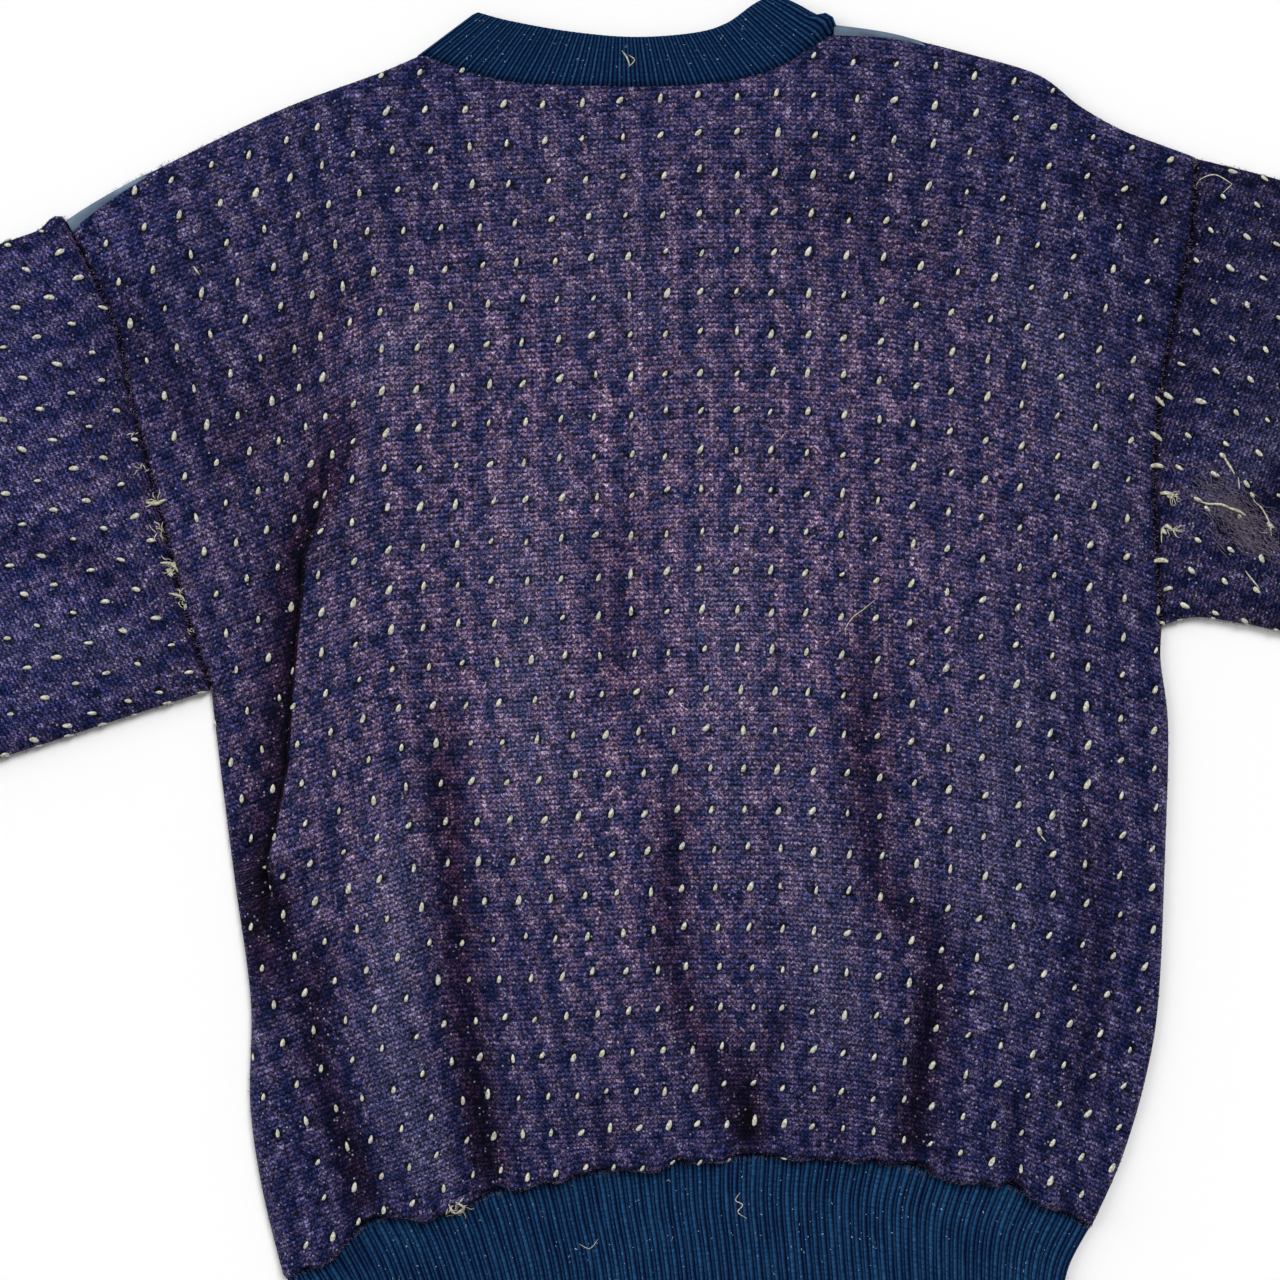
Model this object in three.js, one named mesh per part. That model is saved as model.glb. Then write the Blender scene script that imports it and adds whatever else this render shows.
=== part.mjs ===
// A drop-shouldered wool sweater laid flat on its front, back side up, the neck
// towards +Y and the resting surface at z = 0. Millimetres, +Z up.
import * as THREE from 'three';

// Driving sizes
const jersey = 2.5;           // wall of the patterned jersey
const rib = 3;                // wall of the ribbed trims
const leather = 1.2;          // wall of the shoulder yokes
const seamTrim = 0.2;         // taken off each side of a seam, so that pieces stand clear
const tightTrim = 0.4;        // the same on pieces whose seams bend more tightly
const upperBase = 3.35;       // underside of the upper layer, above the thickest lower one
const tubeHeight = 6.35;      // a sleeve or cuff pressed flat
const sideRoll = 7;           // width over which the back rolls down at a side seam
const frontInset = 7;         // front lies this far inside the rolled side edges
const loft = 3.2;             // how far the back stands above its base in the middle
const blousing = 5;           // extra height of the jersey where it puffs over the welt
const blousingReach = 26;     // distance of that puff above the hem seam
const yokeDepth = 0.25;       // share of the armhole that the front yokes take up
const rolledHeight = 4.3;     // height of a yoke where its rolled edge shows
const yokeTuck = 2.5;         // how far inside the shoulder edge that roll begins
const clearOfBack = 1.8;      // distance outside the shoulder edge where it has its full height

// Seams and fold edges in plan, [x, y], left to right or hem to shoulder
const hemSeam = [[-250, -325], [-224, -315], [-196, -295], [-151, -292], [-110, -279], [-59, -274],
  [0, -271], [48, -272], [101, -279], [136, -289], [179, -300], [206, -316], [219, -325]];
const sideLeft = [[-250, -325], [-259, -275], [-263, -225], [-259, -165], [-264, -95], [-268, -35],
  [-271, 17]];
const sideRight = [[219, -325], [239, -287], [256, -240], [266, -195], [275, -110], [281, -40],
  [279, 0], [281, 20]];
const armholeLeft = [[-271, 17], [-282, 57], [-293, 112], [-307, 185], [-315, 232], [-339, 293]];
const armholeRight = [[281, 20], [281, 50], [282, 100], [288, 150], [302, 208], [312, 243],
  [318, 290]];
const shoulderLeft = [[-339, 293], [-306, 312], [-270, 328], [-211, 350], [-152, 368], [-127, 377]];
const shoulderRight = [[112, 375], [150, 370], [196, 356], [230, 343], [252, 324], [275, 309],
  [297, 299], [318, 290]];
const backNeck = [[-127, 377], [-96, 364], [-69, 357], [-29, 353], [0, 351], [29, 350], [58, 352],
  [81, 358], [98, 367], [112, 375]];
const frontNeck = [[-127, 377], [-121, 340], [-98, 303], [-55, 278], [-7, 271], [41, 277],
  [84, 302], [107, 338], [112, 375]];
const bandBackEdge = [[-92, 400], [-74, 394], [-37, 385], [-3, 380], [31, 380.5], [50, 385],
  [66, 395], [77, 400]];
const bandFrontEdge = [[-92, 400], [-93, 358], [-78, 326], [-44, 306], [-7, 300], [30, 305],
  [64, 324], [78, 356], [77, 400]];
const weltLeft = [[-225, -408], [-228, -376], [-238, -346], [-250, -325]];
const weltRight = [[197, -412], [198, -380], [204, -350], [219, -325]];
const weltEdge = [[-225, -408], [-150, -379], [-80, -361], [0, -355], [80, -360], [140, -378],
  [197, -412]];
const sleeveLeftTop = [[-339, 293], [-378, 283], [-450, 259], [-540, 217], [-625, 161],
  [-676, 118], [-706, 85]];
const sleeveLeftUnder = [[-271, 17], [-330, 2], [-396, -15], [-480, -34], [-570, -48], [-640, -46],
  [-674, -25]];
const sleeveRightTop = [[318, 290], [331, 286], [365, 275], [430, 250], [520, 208], [610, 156],
  [664, 119], [699, 87]];
const sleeveRightUnder = [[281, 20], [301, 24], [327, 19], [349, 13], [430, -12], [520, -37],
  [600, -47], [665, -22]];
const cuffLeftEnd = [[-775, 53], [-749, -35]];
const cuffRightEnd = [[767, 55], [741, -33]];

// Share of a panel's width or height where one edge line gives way to the next
const neckFrom = 0.32;
const neckTo = 0.686;
const underarmAt = 0.55;
const frontUnderarmAt = 0.62;

// Steps along the seams that two pieces share, so that their corners meet
const armSteps = 12;
const backNeckSteps = 12;
const frontNeckSteps = 20;
const yokeNeckSteps = 4;

// Troughs of the largest folds: path, half width and depth
const folds = [
  { path: [[-194, 152], [-213, 89], [-224, 19], [-231, -34], [-247, -90]], width: 15, depth: 7 },
  { path: [[-132, 120], [-136, 30], [-139, -90], [-142, -190], [-118, -268]], width: 16, depth: 4 },
  { path: [[-196, -120], [-204, -200], [-206, -250], [-188, -292]], width: 14, depth: 5 },
  { path: [[-2, -40], [4, -160], [24, -230], [34, -264]], width: 13, depth: 5 },
  { path: [[112, -150], [133, -180], [122, -230], [116, -276]], width: 12, depth: 6 },
];

// Ridges beside those folds, where the cloth stands up
const ridges = [
  { path: [[-178, 130], [-196, 60], [-206, -10], [-214, -80]], width: 13, height: 6 },
  { path: [[-166, -110], [-172, -200], [-160, -270]], width: 15, height: 3 },
  { path: [[70, -150], [78, -220], [76, -268]], width: 22, height: 3 },
];

const { clamp, lerp, smoothstep } = THREE.MathUtils;
const vectors = (points) => points.map(([x, y]) => new THREE.Vector2(x, y));

// A smooth line through plan points, read by its share of length
function line(points) {
  const curve = new THREE.SplineCurve(vectors(points));
  return (t) => curve.getPointAt(clamp(t, 0, 1));
}

// The part of a line between two shares of its length
const stretch = (of, from, to) => (t) => of(lerp(from, to, t));

// Lines joined end to end, each giving way to the next at a stop
function chain(lines, stops) {
  const ends = [0, ...stops, 1];
  return (t) => {
    const k = Math.min(stops.filter((stop) => t > stop).length, lines.length - 1);
    return lines[k]((t - ends[k]) / (ends[k + 1] - ends[k]));
  };
}

// A plan surface spanned between four edge lines, u across and v up
function span(bottom, top, left, right) {
  return (u, v) => {
    const across = bottom(u).multiplyScalar(1 - v).addScaledVector(top(u), v);
    const up = left(v).multiplyScalar(1 - u).addScaledVector(right(v), u);
    const low = bottom(0).multiplyScalar(1 - u).addScaledVector(bottom(1), u);
    const high = top(0).multiplyScalar(1 - u).addScaledVector(top(1), u);
    return across.add(up).addScaledVector(low, v - 1).addScaledVector(high, -v);
  };
}

// The same surface with a hair taken off at each edge
function trimmed(surface, width, height, trim = seamTrim) {
  const du = trim / width;
  const dv = trim / height;
  return (u, v) => surface(lerp(du, 1 - du, u), lerp(dv, 1 - dv, v));
}

// Even steps between stops, with the given number of steps in each stretch
function stations(stops, counts) {
  const list = [stops[0]];
  counts.forEach((count, k) => {
    for (let i = 1; i <= count; i += 1) list.push(lerp(stops[k], stops[k + 1], i / count));
  });
  return list;
}

// A closed solid from points and four-sided faces, turned so that its faces point out
function solid(points, quads) {
  const index = quads.flatMap(([a, b, c, d]) => [a, b, c, a, c, d]);
  let volume = 0;
  for (let i = 0; i < index.length; i += 3) {
    const [a, b, c] = [0, 1, 2].map((k) => points[index[i + k]]);
    volume += a.dot(b.clone().cross(c));
  }
  if (volume < 0) index.reverse();
  const geometry = new THREE.BufferGeometry().setFromPoints(points);
  geometry.setIndex(index);
  geometry.computeVertexNormals();
  return geometry;
}

// A panel: plan surface with an under and an upper face, each a height over u and v
function panel(surface, us, vs, under, upper) {
  const points = [];
  for (const height of [under, upper]) {
    for (const v of vs) {
      for (const u of us) {
        const p = surface(u, v);
        points.push(new THREE.Vector3(p.x, p.y, height(p, u, v)));
      }
    }
  }
  const cols = us.length;
  const rows = vs.length;
  const at = (layer, j, i) => (layer * rows + j) * cols + i;
  const quads = [];
  for (let j = 0; j < rows - 1; j += 1) {
    for (let i = 0; i < cols - 1; i += 1) {
      quads.push([at(0, j, i), at(0, j + 1, i), at(0, j + 1, i + 1), at(0, j, i + 1)]);
      quads.push([at(1, j, i), at(1, j, i + 1), at(1, j + 1, i + 1), at(1, j + 1, i)]);
    }
  }
  for (let i = 0; i < cols - 1; i += 1) {
    quads.push([at(0, 0, i), at(0, 0, i + 1), at(1, 0, i + 1), at(1, 0, i)]);
    quads.push([at(0, rows - 1, i + 1), at(0, rows - 1, i), at(1, rows - 1, i), at(1, rows - 1, i + 1)]);
  }
  for (let j = 0; j < rows - 1; j += 1) {
    quads.push([at(0, j + 1, 0), at(0, j, 0), at(1, j, 0), at(1, j + 1, 0)]);
    quads.push([at(0, j, cols - 1), at(0, j + 1, cols - 1), at(1, j + 1, cols - 1), at(1, j, cols - 1)]);
  }
  return solid(points, quads);
}

// A wall between outer and inner rings of points, open at its two ends
function ringWall(outer, inner) {
  const sections = outer.length;
  const around = outer[0].length;
  const points = [...outer.flat(), ...inner.flat()];
  const at = (layer, j, k) => (layer * sections + j) * around + (k % around);
  const quads = [];
  for (let j = 0; j < sections - 1; j += 1) {
    for (let k = 0; k < around; k += 1) {
      quads.push([at(0, j, k), at(0, j, k + 1), at(0, j + 1, k + 1), at(0, j + 1, k)]);
      quads.push([at(1, j, k), at(1, j + 1, k), at(1, j + 1, k + 1), at(1, j, k + 1)]);
    }
  }
  for (let k = 0; k < around; k += 1) {
    const last = sections - 1;
    quads.push([at(0, 0, k), at(1, 0, k), at(1, 0, k + 1), at(0, 0, k + 1)]);
    quads.push([at(0, last, k), at(0, last, k + 1), at(1, last, k + 1), at(1, last, k)]);
  }
  return solid(points, quads);
}

// A tube pressed flat: u across from fold to fold, v along it, open at both ends
function flatTube(surface, vs, wall, steps, relief) {
  const radius = tubeHeight / 2;
  const rings = [0, wall].map((inset) => vs.map((v) => {
    const width = surface(0, v).distanceTo(surface(1, v));
    const place = (across, z) => {
      const p = surface(across / width, v);
      return new THREE.Vector3(p.x, p.y, z);
    };
    const ring = [];
    for (let i = 0; i <= steps; i += 1) {
      ring.push(place(lerp(radius, width - radius, i / steps), inset));
    }
    for (const turn of [45, 90, 135]) {
      const angle = THREE.MathUtils.degToRad(turn);
      const reach = (radius - inset) * Math.sin(angle);
      ring.push(place(width - radius + reach, radius - (radius - inset) * Math.cos(angle)));
    }
    for (let i = steps; i >= 0; i -= 1) {
      const share = i / steps;
      ring.push(place(lerp(radius, width - radius, share), tubeHeight - inset + relief(share, v)));
    }
    for (const turn of [135, 90, 45]) {
      const angle = THREE.MathUtils.degToRad(turn);
      const reach = (radius - inset) * Math.sin(angle);
      ring.push(place(radius - reach, radius - (radius - inset) * Math.cos(angle)));
    }
    return ring;
  }));
  return ringWall(rings[0], rings[1]);
}

// Nearness to a path, 1 on it and fading over the width, also towards its ends
function nearness(p, { path, width }) {
  let best = 0;
  const points = vectors(path);
  const along = new THREE.Vector2();
  for (let k = 0; k < points.length - 1; k += 1) {
    along.subVectors(points[k + 1], points[k]);
    const t = clamp(p.clone().sub(points[k]).dot(along) / along.lengthSq(), 0, 1);
    const distance = p.distanceTo(points[k].clone().addScaledVector(along, t));
    best = Math.max(best, Math.exp(-((distance / width) ** 2)));
  }
  return best;
}

// Height of the upper layer's underside above its base, folds and all
function bodyLift(p, u, v) {
  const sideways = smoothstep(Math.min(u, 1 - u), 0, 0.09);
  const upwards = smoothstep(1 - v, 0, 0.08);
  const aboveHem = v * 640;
  const puff = blousing * (aboveHem / blousingReach) * Math.exp(1 - aboveHem / blousingReach);
  const spread = smoothstep(aboveHem, 0, 60);
  let height = loft * sideways * upwards * spread + puff * smoothstep(Math.min(u, 1 - u), 0, 0.05);
  for (const ridge of ridges) height += ridge.height * nearness(p, ridge) * smoothstep(aboveHem, 0, 20);
  for (const fold of folds) height -= fold.depth * nearness(p, fold);
  return Math.max(height, 0);
}

// Underside of the back, which rolls down to the surface at the side seams
function backUnder(p, u, v) {
  const fromSide = Math.min(u, 1 - u) * 550;
  const rolled = 1 - smoothstep(fromSide, 0, sideRoll);
  const below = smoothstep(v, 0.01, 0.05) * (1 - smoothstep(v, underarmAt - 0.05, underarmAt));
  return lerp(upperBase + bodyLift(p, u, v), 0.35, rolled * below);
}

const hem = line(hemSeam);
const leftArm = line(armholeLeft);
const rightArm = line(armholeRight);
const leftShoulder = line(shoulderLeft);
const rightShoulder = line(shoulderRight);
const neckSeamBack = line(backNeck);
const neckSeamFront = line(frontNeck);
const frontTop = 1 - yokeDepth;                      // armhole share where the yokes begin
const yokeNeck = yokeNeckSteps / frontNeckSteps;     // share of the front neck beside each yoke

const backSurface = trimmed(span(
  hem,
  chain([leftShoulder, neckSeamBack, rightShoulder], [neckFrom, neckTo]),
  chain([line(sideLeft), leftArm], [underarmAt]),
  chain([line(sideRight), rightArm], [underarmAt]),
), 550, 620);
const backAcross = stations(
  [0, 0.004, 0.014, 0.06, neckFrom, neckTo, 0.706, 0.94, 0.986, 0.996, 1],
  [1, 2, 2, 5, backNeckSteps, 2, 4, 2, 2, 1],
);
const backUp = stations([0, 0.03, 0.09, underarmAt, 1], [2, 2, 7, armSteps]);
const back = panel(backSurface, backAcross, backUp, backUnder,
  (p, u, v) => backUnder(p, u, v) + jersey);

// Straight yoke seams from the armholes to the neck line
const yokeSeamLeft = (t) => leftArm(frontTop).lerp(neckSeamFront(yokeNeck), t);
const yokeSeamRight = (t) => neckSeamFront(1 - yokeNeck).lerp(rightArm(frontTop), t);

const hemInset = 0.015;                              // the front's inset as a share of the hem

// A front edge: the side seam moved in under the rolled back, then the armhole
function frontEdge(side, arm, inward) {
  const seam = side.map(([x, y]) => [x + inward * frontInset, y]);
  seam[0] = hem(inward > 0 ? hemInset : 1 - hemInset).toArray();
  const armhole = (t) => {
    const inset = inward * frontInset * (1 - smoothstep(t, 0, 0.2));
    return arm(t * frontTop).add(new THREE.Vector2(inset, 0));
  };
  return chain([line(seam), armhole], [frontUnderarmAt]);
}

const frontSurface = trimmed(span(
  stretch(hem, hemInset, 1 - hemInset),
  chain([yokeSeamLeft, stretch(neckSeamFront, yokeNeck, 1 - yokeNeck), yokeSeamRight],
    [neckFrom, neckTo]),
  frontEdge(sideLeft, leftArm, 1),
  frontEdge(sideRight, rightArm, -1),
), 540, 560);
const frontAcross = stations([0, neckFrom, neckTo, 1],
  [5, frontNeckSteps - 2 * yokeNeckSteps, 5]);
const frontUp = stations([0, frontUnderarmAt, 1], [5, armSteps * frontTop]);
const front = panel(frontSurface, frontAcross, frontUp, () => 0, () => jersey);

// A welt half takes its steps from the panel above it, so that their seams agree
function welt(across, from, to, base) {
  const surface = trimmed(span(line(weltEdge), hem, line(weltLeft), line(weltRight)), 450, 84);
  const us = [...new Set([0, ...across.map((u) => lerp(from, to, u)), 1])];
  return panel(surface, us, stations([0, 1], [3]), () => base, () => base + rib);
}

// How far each yoke's rolled edge stands out past the back's shoulder edge, neck or sleeve end
const showsAtSleeve = (t) => lerp(-1, 6, smoothstep(t, 0.005, 0.03) * (1 - smoothstep(t, 0.1, 0.32)));
const showsAtNeck = (t) => lerp(-1, 6, smoothstep(t, 0, 0.03) * (1 - smoothstep(t, 0.08, 0.28)));

// A front yoke: flat leather under the back, then the rim that rolls over the shoulder.
// Its steps along the shoulder are those of the back, between two shares of the back's width.
function yoke(seam, shoulder, left, right, shows, from, to) {
  const flat = trimmed(span(seam, shoulder, left, right), 210, 70, tightTrim);
  const us = backAcross.filter((u) => u >= from && u <= to).map((u) => (u - from) / (to - from));
  const rows = stations([0, 0.9], [yokeNeckSteps]);
  const reach = (u, k) => {
    const out = (share) => lerp(-yokeTuck, shows(u), share);
    return [-yokeTuck, Math.min(0.8, out(0.25)), Math.min(clearOfBack, out(0.5)), out(0.86), out(1)][k];
  };
  const surface = (u, row) => {
    if (row < rows.length) return flat(u, rows[row]);
    const out = flat(u, 1).sub(flat(u, 0.9)).normalize();
    return flat(u, 1).addScaledVector(out, reach(u, row - rows.length));
  };
  const top = (p, u, row) => {
    const k = row - rows.length;
    if (k < 0 || reach(u, k) < clearOfBack) return leather;
    const full = lerp(leather, rolledHeight, smoothstep(shows(u), 0, 3));
    return k === 4 ? full * 0.6 : full;
  };
  const rowNumbers = Array.from({ length: rows.length + 5 }, (_, row) => row);
  return panel(surface, us, rowNumbers, () => 0, top);
}

// Soft wrinkles over a sleeve, flat at its edges and ends
function sleeveRelief(share, v) {
  const across = Math.sin(Math.PI * share) ** 0.5;
  const along = smoothstep(v, 0, 0.08) * (1 - smoothstep(v, 0.9, 1));
  return across * along * (2.2 + 1.1 * Math.sin(9 * v + 7 * share) + Math.sin(16 * v - 5 * share));
}

// A sleeve runs from the armhole, top fold to underarm seam, out to its cuff
function sleeve(arm, top, under) {
  const end = [top.at(-1), under.at(-1)];
  const surface = trimmed(span((t) => arm(1 - t), line(end), line(top), line(under)), 280, 400);
  return flatTube(surface, stations([0, 0.08, 0.9, 1], [1, 5, 2]), jersey, armSteps, sleeveRelief);
}

function cuff(top, under, end) {
  const seam = [top.at(-1), under.at(-1)];
  const sides = [line([seam[0], end[0]]), line([seam[1], end[1]])];
  const surface = trimmed(span(line(seam), line(end), ...sides), 110, 75);
  return flatTube(surface, stations([0, 1], [3]), rib, 5, () => 0);
}

// The neckband: a ring of rib that lies in both layers and turns over at a fold on each
// side. A section is a strip from the neck seam to the free edge, its wall between two radii.
function neckband() {
  const middle = tubeHeight / 2;
  const edgeBack = line(bandBackEdge);
  const edgeFront = line(bandFrontEdge);
  const wall = (seamPoint, edgePoint, outward, lean) => {
    const length = seamPoint.distanceTo(edgePoint);
    const strip = (radius) => [tightTrim / length, 0.5, 1].map((share) => {
      const p = seamPoint.clone().lerp(edgePoint, share);
      const x = p.x + outward * (radius * Math.cos(lean) - middle);
      return new THREE.Vector3(outward ? x : p.x, p.y, middle + radius * Math.sin(lean));
    });
    return [...strip(middle), ...strip(middle - rib).reverse()];
  };
  const sections = [];
  const leans = [90, 45, 0, -45, -90].map(THREE.MathUtils.degToRad);
  for (let i = 1; i < backNeckSteps; i += 1) {
    const t = i / backNeckSteps;
    sections.push(wall(neckSeamBack(t), edgeBack(t), 0, leans[0]));
  }
  for (const lean of leans) sections.push(wall(neckSeamBack(1), edgeBack(1), 1, lean));
  for (let i = frontNeckSteps - 1; i > 0; i -= 1) {
    const t = i / frontNeckSteps;
    sections.push(wall(neckSeamFront(t), edgeFront(t), 0, leans[4]));
  }
  for (const lean of leans.reverse()) sections.push(wall(neckSeamBack(0), edgeBack(0), -1, lean));
  const around = sections[0].length;
  const at = (j, k) => (j % sections.length) * around + (k % around);
  const quads = [];
  for (let j = 0; j < sections.length; j += 1) {
    for (let k = 0; k < around; k += 1) {
      quads.push([at(j, k), at(j, k + 1), at(j + 1, k + 1), at(j + 1, k)]);
    }
  }
  return solid(sections.flat(), quads);
}

const materials = {
  jersey: { color: 0x403d5c, roughness: 0.95, metalness: 0 },
  rib: { color: 0x132b45, roughness: 0.95, metalness: 0 },
  leather: { color: 0x718399, roughness: 0.6, metalness: 0 },
};

const group = new THREE.Group();
function add(name, geometry, finish) {
  const mesh = new THREE.Mesh(geometry, new THREE.MeshStandardMaterial(materials[finish]));
  mesh.name = name;
  group.add(mesh);
}

add('back_panel', back, 'jersey');
add('front_panel', front, 'jersey');
add('front_yoke_left', yoke(
  yokeSeamLeft, leftShoulder,
  stretch(leftArm, frontTop, 1), stretch(neckSeamFront, yokeNeck, 0),
  showsAtSleeve, 0, neckFrom,
), 'leather');
add('front_yoke_right', yoke(
  yokeSeamRight, rightShoulder,
  stretch(neckSeamFront, 1 - yokeNeck, 1), stretch(rightArm, frontTop, 1),
  showsAtNeck, neckTo, 1,
), 'leather');
add('sleeve_left', sleeve(leftArm, sleeveLeftTop, sleeveLeftUnder), 'jersey');
add('sleeve_right', sleeve(rightArm, sleeveRightTop, sleeveRightUnder), 'jersey');
add('cuff_left', cuff(sleeveLeftTop, sleeveLeftUnder, cuffLeftEnd), 'rib');
add('cuff_right', cuff(sleeveRightTop, sleeveRightUnder, cuffRightEnd), 'rib');
add('welt_back', welt(backAcross, 0, 1, upperBase), 'rib');
add('welt_front', welt(frontAcross, hemInset, 1 - hemInset, 0), 'rib');
add('neckband', neckband(), 'rib');

export default group;
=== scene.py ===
import math
import random
from functools import partial
import bpy
import bmesh
import numpy as np
from mathutils import Matrix, Vector
from mathutils.bvhtree import BVHTree


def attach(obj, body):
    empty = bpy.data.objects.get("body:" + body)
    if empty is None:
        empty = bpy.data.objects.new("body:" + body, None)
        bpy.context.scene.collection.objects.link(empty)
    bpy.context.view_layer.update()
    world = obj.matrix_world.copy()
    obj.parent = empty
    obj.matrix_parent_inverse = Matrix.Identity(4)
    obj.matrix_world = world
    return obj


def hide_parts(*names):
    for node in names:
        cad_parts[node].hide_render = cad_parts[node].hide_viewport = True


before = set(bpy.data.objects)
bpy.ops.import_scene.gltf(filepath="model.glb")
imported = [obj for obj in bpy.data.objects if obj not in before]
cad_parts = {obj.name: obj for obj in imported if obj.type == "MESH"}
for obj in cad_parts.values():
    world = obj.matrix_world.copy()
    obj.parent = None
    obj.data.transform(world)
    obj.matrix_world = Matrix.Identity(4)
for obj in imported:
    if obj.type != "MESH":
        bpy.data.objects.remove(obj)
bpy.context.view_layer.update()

mm = 0.001
random.seed(7)
print("frame loaded:", sorted(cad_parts))

# Seams in plan, in mm, as the sweater lies back side up with its neck towards +Y
seams = {
    "hem": [(-250, -325), (-224, -315), (-196, -295), (-151, -292), (-110, -279), (-59, -274),
            (0, -271), (48, -272), (101, -279), (136, -289), (179, -300), (206, -316), (219, -325)],
    "sideLeft": [(-250, -325), (-259, -275), (-263, -225), (-259, -165), (-264, -95), (-268, -35),
                 (-271, 17)],
    "sideRight": [(219, -325), (239, -287), (256, -240), (266, -195), (275, -110), (281, -40),
                  (279, 0), (281, 20)],
    "armLeft": [(-271, 17), (-282, 57), (-293, 112), (-307, 185), (-315, 232), (-339, 293)],
    "armRight": [(281, 20), (281, 50), (282, 100), (288, 150), (302, 208), (312, 243), (318, 290)],
    "shoulderLeft": [(-339, 293), (-306, 312), (-270, 328), (-211, 350), (-152, 368), (-127, 377)],
    "shoulderRight": [(112, 375), (150, 370), (196, 356), (230, 343), (252, 324), (275, 309),
                      (297, 299), (318, 290)],
    "neckBack": [(-127, 377), (-96, 364), (-69, 357), (-29, 353), (0, 351), (29, 350), (58, 352),
                 (81, 358), (98, 367), (112, 375)],
    "neckFront": [(-127, 377), (-121, 340), (-98, 303), (-55, 278), (-7, 271), (41, 277),
                  (84, 302), (107, 338), (112, 375)],
    "bandBack": [(-92, 400), (-74, 394), (-37, 385), (-3, 380), (31, 380.5), (50, 385), (66, 395),
                 (77, 400)],
    "bandFront": [(-92, 400), (-93, 358), (-78, 326), (-44, 306), (-7, 300), (30, 305), (64, 324),
                  (78, 356), (77, 400)],
    "weltLeft": [(-225, -408), (-228, -376), (-238, -346), (-250, -325)],
    "weltRight": [(197, -412), (198, -380), (204, -350), (219, -325)],
    "weltEdge": [(-225, -408), (-150, -379), (-80, -361), (0, -355), (80, -360), (140, -378),
                 (197, -412)],
    "sleeveLeftTop": [(-339, 293), (-342.5, 297), (-348, 296), (-355, 290), (-366, 286.5),
                      (-390, 279.5), (-415, 271.5), (-450, 259), (-540, 217), (-625, 161),
                      (-676, 118), (-706, 85)],
    "sleeveLeftUnder": [(-271, 17), (-330, 2), (-396, -15), (-480, -34), (-570, -48), (-640, -46),
                        (-674, -25)],
    "sleeveRightTop": [(318, 290), (331, 286), (365, 275), (430, 250), (520, 208), (610, 156),
                       (664, 119), (699, 87)],
    "sleeveRightUnder": [(281, 20), (301, 24), (327, 19), (349, 13), (430, -12), (520, -37),
                         (600, -47), (665, -22)],
    "cuffLeftEnd": [(-775, 53), (-749, -35)],
    "cuffRightEnd": [(767, 55), (741, -33)],
}

# What the pieces share: where edges give way to each other, and the sizes of the cloth
cut = {
    "neckFrom": 0.32, "neckTo": 0.686, "underarm": 0.55, "frontUnderarm": 0.62,
    "yokeDepth": 0.25, "yokeNeck": 0.2,
    "jersey": 2.5, "rib": 3.0, "leather": 1.2,
    "upperLayer": 3.35,          # underside of the upper layer above the table
    "pressed": 6.35,             # height of a sleeve, cuff or neckband pressed flat
    "ribPitch": 5.2,             # one rib and its furrow
    "ribRow": 2.9,
}
# One stitch of the jersey, and how many of them the pattern takes to repeat
knit = {"stitch": 2.97, "row": 2.85, "acrossRepeat": 7, "upRepeat": 8}


def smooth(x, low, high):
    t = np.clip((np.asarray(x, float) - low) / (high - low), 0, 1)
    return t * t * (3 - 2 * t)


def bell(x, width):
    # 1 in the middle, fading both ways over a width
    return np.exp(-((x / width) ** 2))


def quarterRound(x):
    # up a quarter circle, from 0 to 1
    return np.sqrt(np.maximum(1 - (1 - np.clip(x, 0, 1)) ** 2, 0))


def seamLine(points):
    # a soft line through its points, read by its share of length
    p = np.array(points, float)
    ends = np.vstack([p[:1], p, p[-1:]])
    t = np.linspace(0, 1, 24, endpoint=False)[:, None]
    parts = []
    for a, b, c, d in zip(ends, ends[1:], ends[2:], ends[3:]):
        m, n = (c - a) / 2, (d - b) / 2
        parts.append((2 * b - 2 * c + m + n) * t**3 + (3 * c - 3 * b - 2 * m - n) * t**2 + m * t + b)
    way = np.vstack([*parts, p[-1:]])
    run = np.concatenate([[0], np.cumsum(np.hypot(*np.diff(way, axis=0).T))])

    def at(share):
        s = np.clip(share, 0, 1) * run[-1]
        return np.stack([np.interp(s, run, way[:, 0]), np.interp(s, run, way[:, 1])], -1)
    at.length = run[-1]
    return at


def part(line, start, end):
    return lambda t: line(start + (end - start) * np.asarray(t, float))


def chain(lines, stops):
    # lines joined end to end, each giving way to the next at a stop
    ends = [0, *stops, 1]

    def at(t):
        t = np.clip(np.asarray(t, float), 0, 1)
        out = np.zeros(t.shape + (2,))
        for line, low, high in zip(lines, ends, ends[1:]):
            here = (t >= low) & (t <= high)
            out[here] = line((t[here] - low) / (high - low))
        return out
    return at


def span(bottom, top, left, right):
    # the plan surface between four edges, u across and v up
    corners = [bottom(np.array(0.0)), bottom(np.array(1.0)), top(np.array(0.0)), top(np.array(1.0))]

    def at(u, v):
        u, v = np.broadcast_arrays(np.asarray(u, float), np.asarray(v, float))
        a, b = u[..., None], v[..., None]
        low = corners[0] * (1 - a) + corners[1] * a
        high = corners[2] * (1 - a) + corners[3] * a
        ruled = bottom(u) * (1 - b) + top(u) * b + left(v) * (1 - a) + right(v) * a
        return ruled - low * (1 - b) - high * b
    return at


# The back's own shoulder and armhole stop short where the leather of the front shows past them
seams["backShoulderLeft"] = [(-336.4, 288.4), (-306, 308.6), (-281, 321.4), *seams["shoulderLeft"][3:]]
seams["backArmLeft"] = [*seams["armLeft"][:-1], (-336.4, 288.4)]
seams["backShoulderRight"] = [(111.6, 374), *seams["shoulderRight"][1:]]
lines = {name: seamLine(points) for name, points in seams.items()}


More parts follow.
